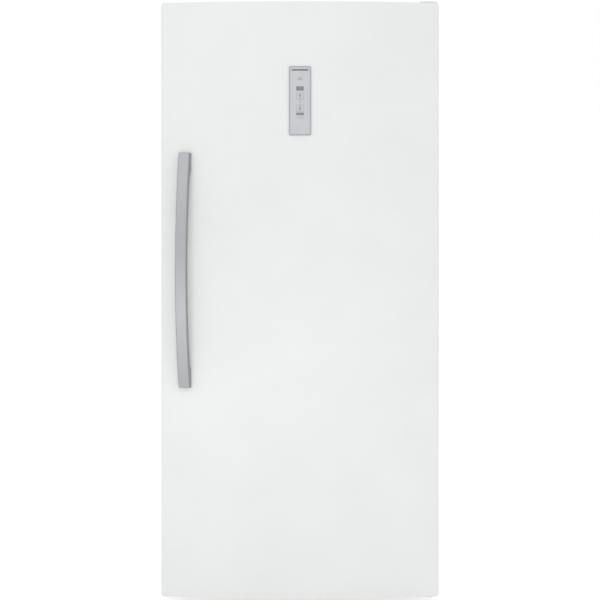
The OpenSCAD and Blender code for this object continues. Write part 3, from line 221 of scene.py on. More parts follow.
world = bpy.data.worlds.new("studio")
world.use_nodes = True
scene.world = world
world.node_tree.nodes.clear()
ambient = add(world.node_tree, "ShaderNodeBackground", values={
    "Color": linear("#FFFFFF"), "Strength": AMBIENT})
shown = add(world.node_tree, "ShaderNodeBackground", values={
    "Color": linear("#FFFFFF"), "Strength": SHOWN})
blend = add(world.node_tree, "ShaderNodeMixShader", links={
    0: seen_directly(world.node_tree), 1: ambient.outputs[0], 2: shown.outputs[0]})
add(world.node_tree, "ShaderNodeOutputWorld", links={"Surface": blend.outputs[0]})

floor_material = bpy.data.materials.new("pale_floor")
floor_material.use_nodes = True
floor_tree = floor_material.node_tree
floor_tree.nodes.clear()
real = add(floor_tree, "ShaderNodeBsdfDiffuse", values={"Color": linear("#F6F6F6")})
glow = add(floor_tree, "ShaderNodeEmission", values={
    "Color": linear("#FFFFFF"), "Strength": FLOOR_GLOW})
share = add(floor_tree, "ShaderNodeMath", {"operation": "MULTIPLY"}, {1: GLOW_SHARE},
            {0: seen_directly(floor_tree)})
floor_mix = add(floor_tree, "ShaderNodeMixShader", links={
    0: share.outputs[0], 1: real.outputs[0], 2: glow.outputs[0]})
add(floor_tree, "ShaderNodeOutputMaterial", links={"Surface": floor_mix.outputs[0]})

floor_mesh = bpy.data.meshes.new("floor")
floor_bm = bmesh.new()
bmesh.ops.create_grid(floor_bm, x_segments=2, y_segments=2, size=FLOOR_HALF)
floor_bm.to_mesh(floor_mesh)
floor_bm.free()
floor = bpy.data.objects.new("floor", floor_mesh)
floor.data.materials.append(floor_material)
scene.collection.objects.link(floor)
print("floor:", 2 * FLOOR_HALF, "m wide")

# %% [markdown]
# ## Lamps
# Wide area lamps give shadows with soft edges, as in the photograph. Two stand in front, a
# little to the left, one low and one high, and one behind lights the back for other views. The
# Standard view shows every colour as it is written.

# %% Lamps
def soft_lamp(name, place, aim, width, height, watts):
    data = bpy.data.lights.new(name, "AREA")
    data.shape = "RECTANGLE"
    data.size, data.size_y, data.energy = width, height, watts
    lamp = bpy.data.objects.new(name, data)
    lamp.location = place
    lamp.rotation_euler = (Vector(aim) - Vector(place)).to_track_quat("-Z", "Y").to_euler()
    scene.collection.objects.link(lamp)


soft_lamp("key_low", (-0.6, -3.6, 0.42), (0, 0, 0.05), 3.2, 0.75, 14)
soft_lamp("key_high", (-0.7, -3.8, 2.8), (0, 0, 1.1), 2.4, 0.8, 9)
soft_lamp("back_rim", (1.5, 3.4, 2.4), (0, 0, 0.9), 2.0, 2.0, 25)
scene.view_settings.view_transform = "Standard"
print("lamps:", len(bpy.data.lights))

# %% [markdown]
# ## White appliance enamel
# The outside is steel sheet with a baked white enamel. The paint levels out as it bakes and
# leaves a faint orange peel, about 3 mm from crest to crest and a hundredth of a millimetre
# deep, which breaks up reflections without dulling them.

# %% Enamel
enamel, tree, shader = start("baked_white_enamel", "#EDEFEE", Roughness=0.3, IOR=1.5)
drift(tree, shader, "#ECEEED", "#EFF1F0", 180)
dull(tree, shader, 0.26, 0.36, 90)
relief(tree, shader, noise(tree, 3.0, detail=1.0), 0.02, 0.5)
print("made", enamel.name)

# %% [markdown]
# ## Moulded plastics
# The inside of the cabinet and of the door is drawn from warm sheets of white polystyrene, and
# the frames and covers are moulded from it. It is softer in its gloss than enamel, with a fine
# satin grain that hides fingerprints. Tougher ABS in grey and black makes the fans, the drain's
# trough and pan and the sliders, nylon the rollers, and slippery acetal the bushes that the
# hinge pins turn in.

# %% White and grey plastics
polystyrene, tree, shader = start("moulded_white_polystyrene", "#EEF0EF", Roughness=0.38,
                                  IOR=1.59, Subsurface_Weight=0.05, Subsurface_Scale=0.002)
drift(tree, shader, "#ECEEED", "#F0F2F1", 140)
dull(tree, shader, 0.33, 0.46, 40)
relief(tree, shader, noise(tree, 0.9, detail=2.0), 0.02, 0.6)

# Painted shade: the hinge cover's white plastic is darkened to a pale grey all over.
white_with_painted_shade, tree, shader = start("white_plastic_painted_shade", "#E3E5E4", Roughness=0.42, IOR=1.53)
drift(tree, shader, "#E1E3E2", "#E6E8E7", 25)
dull(tree, shader, 0.36, 0.5, 12)
relief(tree, shader, noise(tree, 0.9, detail=2.0), 0.02, 0.6)

grey_abs, tree, shader = start("moulded_grey_abs", "#A6A9AB", Roughness=0.5, IOR=1.53)
drift(tree, shader, "#A2A5A7", "#AAADAF", 30)
dull(tree, shader, 0.44, 0.58, 12)
relief(tree, shader, noise(tree, 0.8, detail=2.0), 0.03, 0.6)

black_abs, tree, shader = start("moulded_black_abs", "#26282A", Roughness=0.5, IOR=1.53)
drift(tree, shader, "#222426", "#2B2D2F", 25)
dull(tree, shader, 0.42, 0.6, 10)
relief(tree, shader, noise(tree, 0.9, detail=2.0), 0.04, 0.6)

nylon, tree, shader = start("cast_nylon", "#3A3B3D", Roughness=0.6, IOR=1.53)
drift(tree, shader, "#343537", "#424345", 9)
dull(tree, shader, 0.5, 0.75, 6)
relief(tree, shader, noise(tree, 1.5), 0.05)

ivory_acetal, tree, shader = start("turned_ivory_acetal", "#E8E2D0", Roughness=0.35, IOR=1.48)
drift(tree, shader, "#E5DFCC", "#ECE6D5", 12)
relief(tree, shader, noise(tree, 0.6, (1, 1, 8)), 0.01)
print("materials so far:", len(bpy.data.materials))

# %% [markdown]
# ## Clear moulded polystyrene and glass
# The drawers and the door's bins are crystal polystyrene, which is as clear as glass but scatters
# a little in its polished walls. The shelves are toughened float glass: its faint green shows
# most where one looks along the pane, because the light goes a long way through it there. The
# ceiling light has a lens of opal acrylic with ribs, and the display sits behind a dark window.

# %% Clear plastics and glass
def lets_light_through(tree, shader, hex_colour):
    """Rays from lamps and walls pass straight through, so what is behind stays lit."""
    path = add(tree, "ShaderNodeLightPath")
    light = add(tree, "ShaderNodeMath", {"operation": "MAXIMUM"}, links={
        0: path.outputs["Is Shadow Ray"], 1: path.outputs["Is Diffuse Ray"]})
    clear = add(tree, "ShaderNodeBsdfTransparent", values={"Color": linear(hex_colour)})
    mix = add(tree, "ShaderNodeMixShader", links={
        0: light.outputs[0], 1: shader.outputs[0], 2: clear.outputs[0]})
    tree.links.new(mix.outputs[0], tree.nodes["Material Output"].inputs["Surface"])


crystal, tree, shader = start("crystal_polystyrene", "#F8FBFC", Roughness=0.06, IOR=1.59,
                              Transmission_Weight=0.88)
drift(tree, shader, "#F6F9FA", "#FAFCFD", 60)
dull(tree, shader, 0.03, 0.12, 25)
lets_light_through(tree, shader, "#F6F9FA")

float_glass, tree, shader = start("toughened_float_glass", "#E4F0EA", Roughness=0.02, IOR=1.52,
                                  Transmission_Weight=1.0)
drift(tree, shader, "#E0EEE7", "#E8F3ED", 120)
dull(tree, shader, 0.01, 0.05, 60)
lets_light_through(tree, shader, "#EEF6F2")

opal, tree, shader = start("ribbed_opal_acrylic", "#F4F4F0", Roughness=0.3, IOR=1.49,
                           Transmission_Weight=0.55)
drift(tree, shader, "#F2F2ED", "#F6F6F3", 20)
# A wave texture turns by 20 radians a metre at a scale of 1, so this gives ribs 25 mm apart.
RIB_SCALE = 12.5
place = add(tree, "ShaderNodeTexCoord")
ribs = add(tree, "ShaderNodeTexWave", {"bands_direction": "X", "wave_profile": "SIN"},
           {"Scale": RIB_SCALE}, {"Vector": place.outputs["Object"]})
relief(tree, shader, ribs.outputs["Fac"], 0.4, 0.6)

window, tree, shader = start("tinted_acrylic_window", "#7C7F88", Roughness=0.12, IOR=1.49)
drift(tree, shader, "#787B84", "#81848D", 8)
dull(tree, shader, 0.08, 0.18, 5)
print("clear:", ", ".join(m.name for m in (crystal, float_glass, opal, window)))

# %% [markdown]
# ## Metals
# The deck, hinges and feet are zinc-plated steel: zinc sets in flat crystals, the spangle, here
# about 9 mm across, each a little lighter or darker. The handle is die-cast and painted silver,
# so it has the fine sparkle of aluminium flakes under a clear coat. Its long edges get painted
# shade, a darker grey mixed into the colour, and the painted shade follows its bow, which leans
# out over the door's rounded side by 14 degrees. The panel is framed by a line of painted shade
# in the same way. Copper pipes tarnish in patches, and the evaporator's fins are bare rolled
# aluminium.

# %% Metals
zinc, tree, shader = start("zinc_plated_steel", "#B4B7BA", Roughness=0.4, Metallic=0.9)
cells(tree, shader, "#A3A7AB", "#C4C7C9", 9)
dull(tree, shader, 0.32, 0.5, 14)
relief(tree, shader, noise(tree, 1.2), 0.02)

silver_paint, tree, shader = start("silver_flake_paint", "#A9ABAE", Roughness=0.42, Metallic=0.4)
cells(tree, shader, "#A3A5A8", "#AFB1B4", 0.7)
# X less the lean's share of Y is the same along the whole bow, from the door's face outwards.
HANDLE_LEAN = math.tan(math.radians(14))
HANDLE_X = -0.342
STUDS_STAND_OUT = 0.016
HANDLE_SHADE_BAND = (0.0148, 0.0160)
face_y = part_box("handle_studs")[0][1] + STUDS_STAND_OUT
# Painted shade: a darker grey along both long edges of the handle.
painted_shade_from(tree, shader, "#929497", (1, -HANDLE_LEAN, 0), HANDLE_X - HANDLE_LEAN * face_y,
            *HANDLE_SHADE_BAND)
dull(tree, shader, 0.3, 0.42, 50)
relief(tree, shader, noise(tree, 2.5, detail=1.0), 0.01, 0.5)

panel_paint, tree, shader = start("panel_silver_paint", "#C3C5C8", Roughness=0.42, Metallic=0.25)
drift(tree, shader, "#C1C3C6", "#C6C8CB", 22)
PANEL_Z = 1.526
PANEL_SIDE_SHADE, PANEL_END_SHADE = (0.0298, 0.0308), (0.0998, 0.1008)
# Painted shade: a darker line round the panel's sides and ends.
painted_shade_from(tree, shader, "#A4A6AB", (1, 0, 0), 0, *PANEL_SIDE_SHADE)
painted_shade_from(tree, shader, "#A4A6AB", (0, 0, 1), PANEL_Z, *PANEL_END_SHADE)
dull(tree, shader, 0.36, 0.5, 9)
relief(tree, shader, noise(tree, 0.5, detail=1.0), 0.01, 0.5)

button_paint, tree, shader = start("button_silver_paint", "#C2C4C8", Roughness=0.42, Metallic=0.2)
drift(tree, shader, "#BFC1C5", "#C6C8CC", 9)
dull(tree, shader, 0.3, 0.44, 4)
relief(tree, shader, noise(tree, 0.5, detail=1.0), 0.01, 0.5)

copper, tree, shader = start("drawn_copper_tube", "#B87A55", Roughness=0.38, Metallic=1.0)
drift(tree, shader, "#A56A4A", "#C88A62", 22)
dull(tree, shader, 0.28, 0.55, 15)
relief(tree, shader, noise(tree, 2.0), 0.02)

fin_aluminium, tree, shader = start("rolled_aluminium", "#C6C9CB", Roughness=0.35, Metallic=1.0)
drift(tree, shader, "#BFC2C5", "#CED0D2", 18, (0.2, 1, 1))
dull(tree, shader, 0.28, 0.45, 6, (0.2, 1, 1))
print("materials so far:", len(bpy.data.materials))

# %% [markdown]
# ## Paints, rubber and foam
# The back sheet and its cover carry a plain grey primer, the compressor a thick black lacquer.
# Rubber and the soft vinyl of the gasket are dull and pick up dust. The foam never shows, but it
# gets its own pale yellow with pores all the same.

# %% Paints, rubber and foam
grey_primer, tree, shader = start("grey_primer", "#B7BABC", Roughness=0.5, Metallic=0.1)
drift(tree, shader, "#B6B9BB", "#B9BCBE", 60)
dull(tree, shader, 0.46, 0.56, 30)
relief(tree, shader, noise(tree, 2.0), 0.02, 0.6)

black_lacquer, tree, shader = start("black_lacquer", "#17181A", Roughness=0.28, IOR=1.5)
drift(tree, shader, "#141517", "#1D1E20", 30)
dull(tree, shader, 0.2, 0.4, 18)
relief(tree, shader, noise(tree, 4.0, detail=1.0), 0.05)

motor_paint, tree, shader = start("grey_motor_paint", "#6B7075", Roughness=0.42, Metallic=0.3)
drift(tree, shader, "#666B70", "#71767B", 15)
relief(tree, shader, noise(tree, 1.5), 0.03)

rubber, tree, shader = start("black_rubber", "#1E1F20", Roughness=0.8, IOR=1.52)
drift(tree, shader, "#1B1C1D", "#262728", 8)
dull(tree, shader, 0.7, 0.9, 5)
relief(tree, shader, noise(tree, 0.8), 0.06)

vinyl, tree, shader = start("soft_white_vinyl", "#E6E7E5", Roughness=0.5, IOR=1.53,
                            Subsurface_Weight=0.08, Subsurface_Scale=0.003)
drift(tree, shader, "#E2E3E1", "#E9EAE8", 60)
dull(tree, shader, 0.42, 0.6, 20)
relief(tree, shader, noise(tree, 1.0), 0.02)

foam, tree, shader = start("rigid_urethane_foam", "#E2D6A4", Roughness=0.9, IOR=1.4)
drift(tree, shader, "#DACD98", "#E9DEB2", 12)
relief(tree, shader, noise(tree, 1.0), 0.3)
print("materials so far:", len(bpy.data.materials))

# %% [markdown]
# ## Circuit boards, printed marks and keys
# A circuit board has the deep green of its solder mask, with copper tracks that show through as
# lighter lines, drawn here as the joints of a brick pattern. The panel's marks are printed inks,
# the segments of its display glow a little, and its lowest key is a soft dark grey.

# %% Boards, inks and keys
TRACK_MM = 6
board, tree, shader = start("green_solder_mask", "#1F5B3A", Roughness=0.35, IOR=1.55)
tracks = add(tree, "ShaderNodeTexBrick", values={
    "Scale": MM_IN_A_METRE / TRACK_MM, "Mortar Size": 0.05, "Color1": linear("#1C5535"),
    "Color2": linear("#226340"), "Mortar": linear("#3C8058")},
    links={"Vector": add(tree, "ShaderNodeTexCoord").outputs["Object"]})
tree.links.new(tracks.outputs["Color"], shader.inputs["Base Color"])
dull(tree, shader, 0.3, 0.42, 4)

dark_ink, tree, shader = start("printed_dark_ink", "#4A4D55", Roughness=0.45, IOR=1.5)
drift(tree, shader, "#474A52", "#4F525A", 3)

grey_ink, tree, shader = start("printed_grey_ink", "#989BA0", Roughness=0.45, IOR=1.5)
drift(tree, shader, "#94979C", "#9C9FA4", 3)

faint_ink, tree, shader = start("faint_printed_ink", "#B0B3B5", Roughness=0.45, IOR=1.5)
drift(tree, shader, "#AEB1B3", "#B4B7B9", 3)

pale_light, tree, shader = start("lit_display_segments", "#98A4B1", Roughness=0.4,
                                 Emission_Strength=0.08)
shader.inputs["Emission Color"].default_value = linear("#C4D4E6")
drift(tree, shader, "#939FAC", "#9EAAB7", 2)

soft_key, tree, shader = start("dark_grey_soft_key", "#8B8E94", Roughness=0.55, IOR=1.5)
drift(tree, shader, "#878A90", "#909399", 4)
dull(tree, shader, 0.48, 0.62, 3)
relief(tree, shader, noise(tree, 0.6, detail=1.0), 0.01, 0.5)
print("materials in all:", len(bpy.data.materials))

# %% [markdown]
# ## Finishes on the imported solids
# Each solid keeps its mesh and only changes the material in its slot. The list follows what each
# piece is made of, from the enamelled sheets outside to the foam between the walls.

# %% Give the solids their finishes
FINISHES = [
    (enamel, ["left_side_panel", "right_side_panel", "top_panel", "base_rail", "door_skin"]),
    (polystyrene, ["cabinet_liner", "shelf_frames", "deli_cover", "crisper_cover",
                   "evaporator_cover", "door_end_caps", "door_liner"]),
    (white_with_painted_shade, ["hinge_cover"]),
    (zinc, ["machine_deck", "roller_brackets", "left_leg", "right_leg", "top_hinge",
            "bottom_hinge", "cabinet_screws", "handle_studs"]),
    (grey_primer, ["back_panel", "rear_cover"]),
    (foam, ["cabinet_foam", "door_foam"]),
    (float_glass, ["glass_panes"]),
    (crystal, ["left_crisper", "right_crisper", "deli_drawer", "top_door_bin", "upper_door_bin",
               "lower_door_bin", "bottom_door_bin"]),
    (opal, ["light_lens"]),
    (board, ["light_board", "control_board"]),
    (fin_aluminium, ["evaporator"]),
    (grey_abs, ["drain_trough", "left_humidity_slider", "right_humidity_slider"]),
    (black_abs, ["evaporator_fan", "condenser_fan", "relay_cover", "drain_pan"]),
    (soft_key, ["mode_button"]),
    (motor_paint, ["fan_motors"]),
    (black_lacquer, ["compressor", "condenser"]),
    (rubber, ["compressor_mounts", "cord_gland"]),
    (nylon, ["left_roller", "right_roller"]),
    (copper, ["refrigerant_pipes"]),
    (vinyl, ["door_gasket"]),
    (ivory_acetal, ["hinge_bushes"]),
    (silver_paint, ["handle"]),
    (panel_paint, ["panel_bezel"]),
    (button_paint, ["up_button", "down_button"]),
    (window, ["panel_window"]),
]
finish_of = {}
for material, names in FINISHES:
    for name in names:
        data = frame["nodes"][name].data
        data.materials.clear()
        data.materials.append(material)
        finish_of[name] = material
body_of = {node: body for body, nodes in frame["record"]["behaviour"]["bodies"].items()
           for node in nodes}
print("solids with a finish:", len(finish_of), "of", len(frame["nodes"]))

# %% [markdown]
# ## Softened edges
# No moulded or bent piece has a knife edge. A solid's mesh is loose triangles, so a copy of it is
# merged, its flat triangles are joined into whole faces, and a Bevel modifier rounds each sharp
# edge by about a millimetre. A Weighted Normal modifier keeps the large faces flat to the light,
# so only the rounds shade from one face to the next. The copy then stands for the solid.

# %% Copies with softened edges
MERGE_DISTANCE = 2e-6
FLAT_WITHIN = math.radians(0.5)
SHARP_FROM = math.radians(35)


def finished(name, bm, body, material):
    """Turns a bmesh into a piece that rides on a body."""
    mesh = bpy.data.meshes.new(name)
    bm.to_mesh(mesh)
    bm.free()
    piece = bpy.data.objects.new(name, mesh)
    mesh.materials.append(material)
    scene.collection.objects.link(piece)
    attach(piece, body)
    return piece


def smooth(piece):
    """Smooth shading that turns across the rounds, while large faces stay flat."""
    for polygon in piece.data.polygons:
        polygon.use_smooth = True
    weighted = piece.modifiers.new("weighted_normals", "WEIGHTED_NORMAL")
    weighted.mode = "FACE_AREA"
    weighted.weight = 100


def softened(node, width):
    """A copy of a solid with rounds of a width in metres; it replaces the solid."""
    bm = bmesh.new()
    bm.from_mesh(frame["nodes"][node].data)
    bmesh.ops.remove_doubles(bm, verts=bm.verts[:], dist=MERGE_DISTANCE)
    bmesh.ops.dissolve_limit(bm, angle_limit=FLAT_WITHIN, verts=bm.verts[:], edges=bm.edges[:])
    piece = finished(node + "_soft", bm, body_of[node], finish_of[node])
    bevel = piece.modifiers.new("soft_edges", "BEVEL")
    bevel.width = width
    bevel.segments = 2
    bevel.limit_method = "ANGLE"
    bevel.angle_limit = SHARP_FROM
    bevel.use_clamp_overlap = True
    smooth(piece)
    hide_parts(node)
    return piece


ROUNDS = {
    "shelf_frames": 0.0012, "deli_cover": 0.0012, "crisper_cover": 0.001,
    "evaporator_cover": 0.001, "light_lens": 0.001, "hinge_cover": 0.0008,
    "left_crisper": 0.0009, "right_crisper": 0.0009, "deli_drawer": 0.0009,
    "top_door_bin": 0.0009, "upper_door_bin": 0.0009, "lower_door_bin": 0.0009,
    "bottom_door_bin": 0.0009, "panel_bezel": 0.0006, "up_button": 0.0005,
    "down_button": 0.0005, "mode_button": 0.0004, "left_humidity_slider": 0.0006,
    "right_humidity_slider": 0.0006, "rear_cover": 0.0003, "handle": 0.0006,
}
for node, width in ROUNDS.items():
    piece = softened(node, width)
    print(piece.name, len(piece.data.polygons), "faces before the bevel")

# %% [markdown]
# ## The cabinet's moulded liner
# The real liner is one sheet drawn over a tool, so every inner corner is round. It is modelled as
# the hollow itself: the outline seen from the side, drawn out across the cabinet, opened at the
# front, with its edges bevelled to 12 mm and a 2 mm wall given outwards. The step low at the back
# is the hump over the machine compartment.

# %% Liner with round corners
def drawn_out(bm, face, way):
    """Extrudes a face along a way; returns what the extrusion made."""
    made = bmesh.ops.extrude_face_region(bm, geom=[face])["geom"]
    moved = [g for g in made if isinstance(g, bmesh.types.BMVert)]
    bmesh.ops.translate(bm, vec=way, verts=moved)
    return made


def round_edges(bm, edges, radius, segments):
    bmesh.ops.bevel(bm, geom=edges, offset=radius, segments=segments, profile=0.5,
                    affect="EDGES", material=-1)


WALL, INNER_RADIUS = 0.002, 0.012
FLOOR_Z, HUMP_Z = 0.097, 0.292
HUMP = [(0.0745, FLOOR_Z), (0.0745, 0.1325), (0.1788, HUMP_Z)]
low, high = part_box("cabinet_liner")
half, back, top = high.x - WALL, high.y - WALL, high.z - WALL
outline = [(low.y, FLOOR_Z), *HUMP, (back, HUMP_Z), (back, top), (low.y, top)]
bm = bmesh.new()
side = bm.faces.new([bm.verts.new((-half, y, z)) for y, z in outline])
drawn_out(bm, side, (2 * half, 0, 0))
bmesh.ops.recalc_face_normals(bm, faces=bm.faces[:])
front = [f for f in bm.faces if f.normal.y < -0.99]
bmesh.ops.delete(bm, geom=front, context="FACES")
bmesh.ops.reverse_faces(bm, faces=bm.faces[:])
inner = [e for e in bm.edges if not e.is_boundary]
round_edges(bm, inner, INNER_RADIUS, 4)
liner = finished("moulded_cabinet_liner", bm, "cabinet", polystyrene)
wall = liner.modifiers.new("wall", "SOLIDIFY")
wall.thickness = WALL
wall.offset = -1
wall.use_even_offset = True
smooth(liner)
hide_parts("cabinet_liner")
print("liner faces", len(liner.data.polygons))

# %% [markdown]
# ## Shelf ledges
# The ledges that carry the shelves are pressed out of the liner's side walls, with round noses.
# Each is a bevelled bar, and eleven pairs of them stand at the heights where a shelf or a cover
# can go.

# %% Ledges
def bevelled_bar(bm, lo, hi, radius):
    made = bmesh.ops.create_cube(bm, size=1)["verts"]
    bmesh.ops.scale(bm, vec=Vector(hi) - Vector(lo), verts=made)
    bmesh.ops.translate(bm, vec=(Vector(hi) + Vector(lo)) / 2, verts=made)
    round_edges(bm, list({e for v in made for e in v.link_edges}), radius, 3)


def bars_at_both_sides(bm, heights, xs, ys, zs, radius):
    """Pairs of bars from xs[0] to xs[1] off the middle, with ends zs above each height."""
    for z in heights:
        for side in (-1, 1):
            x_low, x_high = sorted(side * x for x in xs)
            bevelled_bar(bm, (x_low, ys[0], z + zs[0]), (x_high, ys[1], z + zs[1]), radius)


COVER_HEIGHTS = [0.368, 0.508]
SHELF_HEIGHTS = [0.708 + 0.1 * step for step in range(9)]
bm = bmesh.new()
bars_at_both_sides(bm, COVER_HEIGHTS + SHELF_HEIGHTS, xs=(0.352, 0.367), ys=(-0.1165, 0.2585),
                   zs=(-0.010, 0), radius=0.003)
ledges = finished("liner_ledges", bm, "cabinet", polystyrene)
smooth(ledges)
print("ledge faces", len(ledges.data.polygons))

# %% [markdown]
# ## The door's moulded liner
# On the inside of the door the sheet rises into a round-crested frame that holds the bins and
# fits inside the cabinet. It is lofted: a rectangle with rounded corners is extruded again and
# again, each time to a new size and depth, first up over the frame and then down into the field
# between its sides. The side towards the foam is left open, because nothing shows there.

# %% Loft through stations
def loft(bm, stations, radius):
    """Extrudes a rounded rectangle through (half width, lowest z, highest z, y) stations."""
    def ring_size(station):
        return Vector((station[0] * 2, 0, station[2] - station[1]))

    wide, z_low, z_high, y = stations[0]
    corners = [bm.verts.new((x, y, z)) for x, z in (
        (-wide, z_low), (wide, z_low), (wide, z_high), (-wide, z_high))]
    face = bm.faces.new(corners)
    bmesh.ops.bevel(bm, geom=corners, offset=radius, segments=5, profile=0.5,
                    affect="VERTICES", material=-1)
    face = face if face.is_valid else bm.faces[:][-1]
    for old, new in zip(stations, stations[1:]):
        face = bmesh.ops.extrude_discrete_faces(bm, faces=[face])["faces"][0]
        centre = Vector((0, old[3], (old[1] + old[2]) / 2))
        was, now = ring_size(old), ring_size(new)
        bmesh.ops.scale(bm, vec=(now.x / was.x, 1, now.z / was.z),
                        space=Matrix.Translation(-centre), verts=face.verts)
        shift = Vector((0, new[3] - old[3], (new[1] + new[2] - old[1] - old[2]) / 2))
        bmesh.ops.translate(bm, vec=shift, verts=face.verts)


def grown(rectangle, t, y):
    """A station with its sides t metres outside a rectangle (half width, lowest z, highest z)."""
    return rectangle[0] + t, rectangle[1] - t, rectangle[2] + t, y


print("grown by 1 mm:", [round(v, 4) for v in grown((0.1, 0.2, 0.6), 0.001, 0)])

# %% [markdown]
# ## Stations of the door's liner
# The first stations are the sheet's flat edge, which lies under the skin's folded flange. Then
# come the fillet at the frame's foot, the two rounds of its nose, and the fillet down to the
# field behind the bins. All but the edge are the frame's rectangle drawn in by some millimetres.

# %% Door liner
# The cabinet's front flange, which the gasket seals against; the door is in front of it.
FLANGE_Y = -0.2415
SHEET_EDGE, FRAME = (0.418, 0.055, 1.807), (0.358, 0.109, 1.754)
NOSE_RADIUS, SAME_PLANE = 0.005, 1e-6
sheet, field_y, nose_y = FLANGE_Y - 0.015, FLANGE_Y - 0.013, FLANGE_Y + 0.035


def fillet(steps):
    """Stations from (metres inside the frame, height over the field) pairs."""
    return [grown(FRAME, -t, field_y + rise) for t, rise in steps]


def nose(t, degrees):
    """Stations on an arc round a centre t metres inside the frame."""
    turns = [math.radians(a) for a in degrees]
    return [grown(FRAME, NOSE_RADIUS * math.cos(a) - t,
                  nose_y + NOSE_RADIUS + NOSE_RADIUS * math.sin(a)) for a in turns]


stations = [(*SHEET_EDGE, sheet), (*SHEET_EDGE, field_y)]
stations += fillet([(0, 0), (0.0028, 0.0012), (0.0040, 0.0040)])
stations += nose(0.0092, (0, 30, 60, 90)) + nose(0.0228, (90, 120, 150, 180))
stations += fillet([(0.0277, 0.0080), (0.0300, 0.0025), (0.0360, 0)])
bm = bmesh.new()
loft(bm, stations, 0.0065)
first_faces = [f for f in bm.faces if all(abs(v.co.y - sheet) < SAME_PLANE for v in f.verts)]
bmesh.ops.delete(bm, geom=first_faces, context="FACES_ONLY")
bmesh.ops.recalc_face_normals(bm, faces=bm.faces[:])
if sum(f.normal.y * f.calc_area() for f in bm.faces) < 0:
    bmesh.ops.reverse_faces(bm, faces=bm.faces[:])
door_liner = finished("moulded_door_liner", bm, "door", polystyrene)
smooth(door_liner)
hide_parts("door_liner")
print("door liner faces", len(door_liner.data.polygons))

# %% [markdown]
# ## Lugs for the bins
# A bin hangs on two lugs that are pressed out of the frame's inner sides, and lifts off them.
# They are bevelled bars like the ledges, 30 mm above each bin's floor.

# %% Lugs that carry the bins
BIN_HEIGHTS = (0.142, 0.522, 0.902, 1.282)
bm = bmesh.new()
bars_at_both_sides(bm, BIN_HEIGHTS, xs=(0.3226, 0.331), ys=(FLANGE_Y + 0.008, FLANGE_Y + 0.020),
                   zs=(0.030, 0.060), radius=0.002)
lugs = finished("bin_lugs", bm, "door", polystyrene)
smooth(lugs)
print("lug faces", len(lugs.data.polygons))

# %% [markdown]
# ## The magnetic gasket
# The gasket is a soft vinyl extrusion with a bellows that lets it stretch and a flat chamber
# whose magnet strip pulls it onto the steel flange. Seen from the side of a closed door its folds
# show as thin dark lines. It is lofted like the liner, round its section and back to the start.

# %% Gasket
# Points of the section in mm: outside the gasket's outer rectangle, and behind the flange. Both
# are negative, so the section lies inside that rectangle and in front of the flange.
GASKET = (0.386, 0.077, 1.786)
SECTION = [(0.0, -13.0), (0.0, -10.5), (-3.0, -9.2), (-0.6, -7.8), (-3.0, -6.4), (-0.4, -5.2),
           (0.0, -4.2), (0.0, -1.2), (-1.0, -0.2), (-17.5, -0.2), (-18.6, -1.2), (-18.6, -4.2),
           (-16.5, -5.2), (-18.4, -6.4), (-16.5, -7.8), (-18.8, -9.2), (-18.8, -13.0)]
stations = [grown(GASKET, t / MM_IN_A_METRE, FLANGE_Y + y / MM_IN_A_METRE) for t, y in SECTION]
bm = bmesh.new()
loft(bm, stations, 0.004)
ends = [f for f in bm.faces if len(f.verts) > 4]
bmesh.ops.delete(bm, geom=ends, context="FACES_ONLY")
rim = [e for e in bm.edges if e.is_boundary]
bmesh.ops.bridge_loops(bm, edges=rim)
bmesh.ops.recalc_face_normals(bm, faces=bm.faces[:])
gasket = finished("folded_gasket", bm, "door", vinyl)
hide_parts("door_gasket")
print("gasket faces", len(gasket.data.polygons))

# %% [markdown]
# ## Marks on the control panel
# The panel is read at a glance: two lit digits behind the dark window, an arrow on each of the
# two temperature buttons, and thin printed lines. They are flat shapes a tenth of a millimetre
# thick, each a few corners extruded, so they keep crisp edges at any distance.

# %% Flat printed shapes
def printed(name, body, material, slot, shapes, y_front, y_back):
    """A piece of flat shapes, each a list of x and z corners, between two planes."""
    bm = bmesh.new()
    for points in shapes:
        face = bm.faces.new([bm.verts.new((x, y_front, z)) for x, z in points])
        drawn_out(bm, face, (0, y_back - y_front, 0))
    bmesh.ops.recalc_face_normals(bm, faces=bm.faces[:])
    finished(name, bm, body, material)


def bar(x0, z0, x1, z1):
    return [(x0, z0), (x1, z0), (x1, z1), (x0, z1)]


STROKE, WIDTH, HEIGHT = 0.0010, 0.0042, 0.0078
DIGITS_UP = 0.0368
DIGITS_Y = (-0.33405, -0.33385)
SEGMENTS = {"3": "abcdg", "7": "abc"}
digits = []
for x, digit in ((-0.0052, "3"), (0.0010, "7")):
    z = PANEL_Z + DIGITS_UP - HEIGHT / 2
    strokes = {
        "a": bar(x, z + HEIGHT - STROKE, x + WIDTH, z + HEIGHT),
        "b": bar(x + WIDTH - STROKE, z + HEIGHT / 2, x + WIDTH, z + HEIGHT - 1.3 * STROKE),
        "c": bar(x + WIDTH - STROKE, z + 1.3 * STROKE, x + WIDTH, z + HEIGHT / 2 - 0.3 * STROKE),
        "d": bar(x, z, x + WIDTH, z + STROKE),
        "g": bar(x + 0.3 * STROKE, z + HEIGHT / 2 - STROKE / 2, x + WIDTH - 1.3 * STROKE,
                 z + HEIGHT / 2 + STROKE / 2),
    }
    digits += [strokes[s] for s in SEGMENTS[digit]]
printed("display_digits", "door", pale_light, "dark_window", digits, *DIGITS_Y)
print("segments lit:", len(digits))

# %% [markdown]
# ## Arrows, inlay and printed lines
# An arrow is a triangle on a short bar. The dark inlay near the panel's top and the faint lines
# under its keys run across its middle, so one helper places such a bar by its heights over the
# panel's centre. Each mark stands a little into the surface that it is printed on.

# %% Arrows, inlay and printed lines
FACE_Y = -0.334
INLAY_Y, MARKS_Y = (FACE_Y - 0.0003, FACE_Y + 0.0001), (FACE_Y - 0.0001, FACE_Y + 0.0001)
BUTTON_Y = (-0.33512, -0.33495)
HEAD_HALF, STEM_HALF = 0.0042, 0.0016
TIP, NECK, TAIL = 0.0090, 0.0005, -0.0088


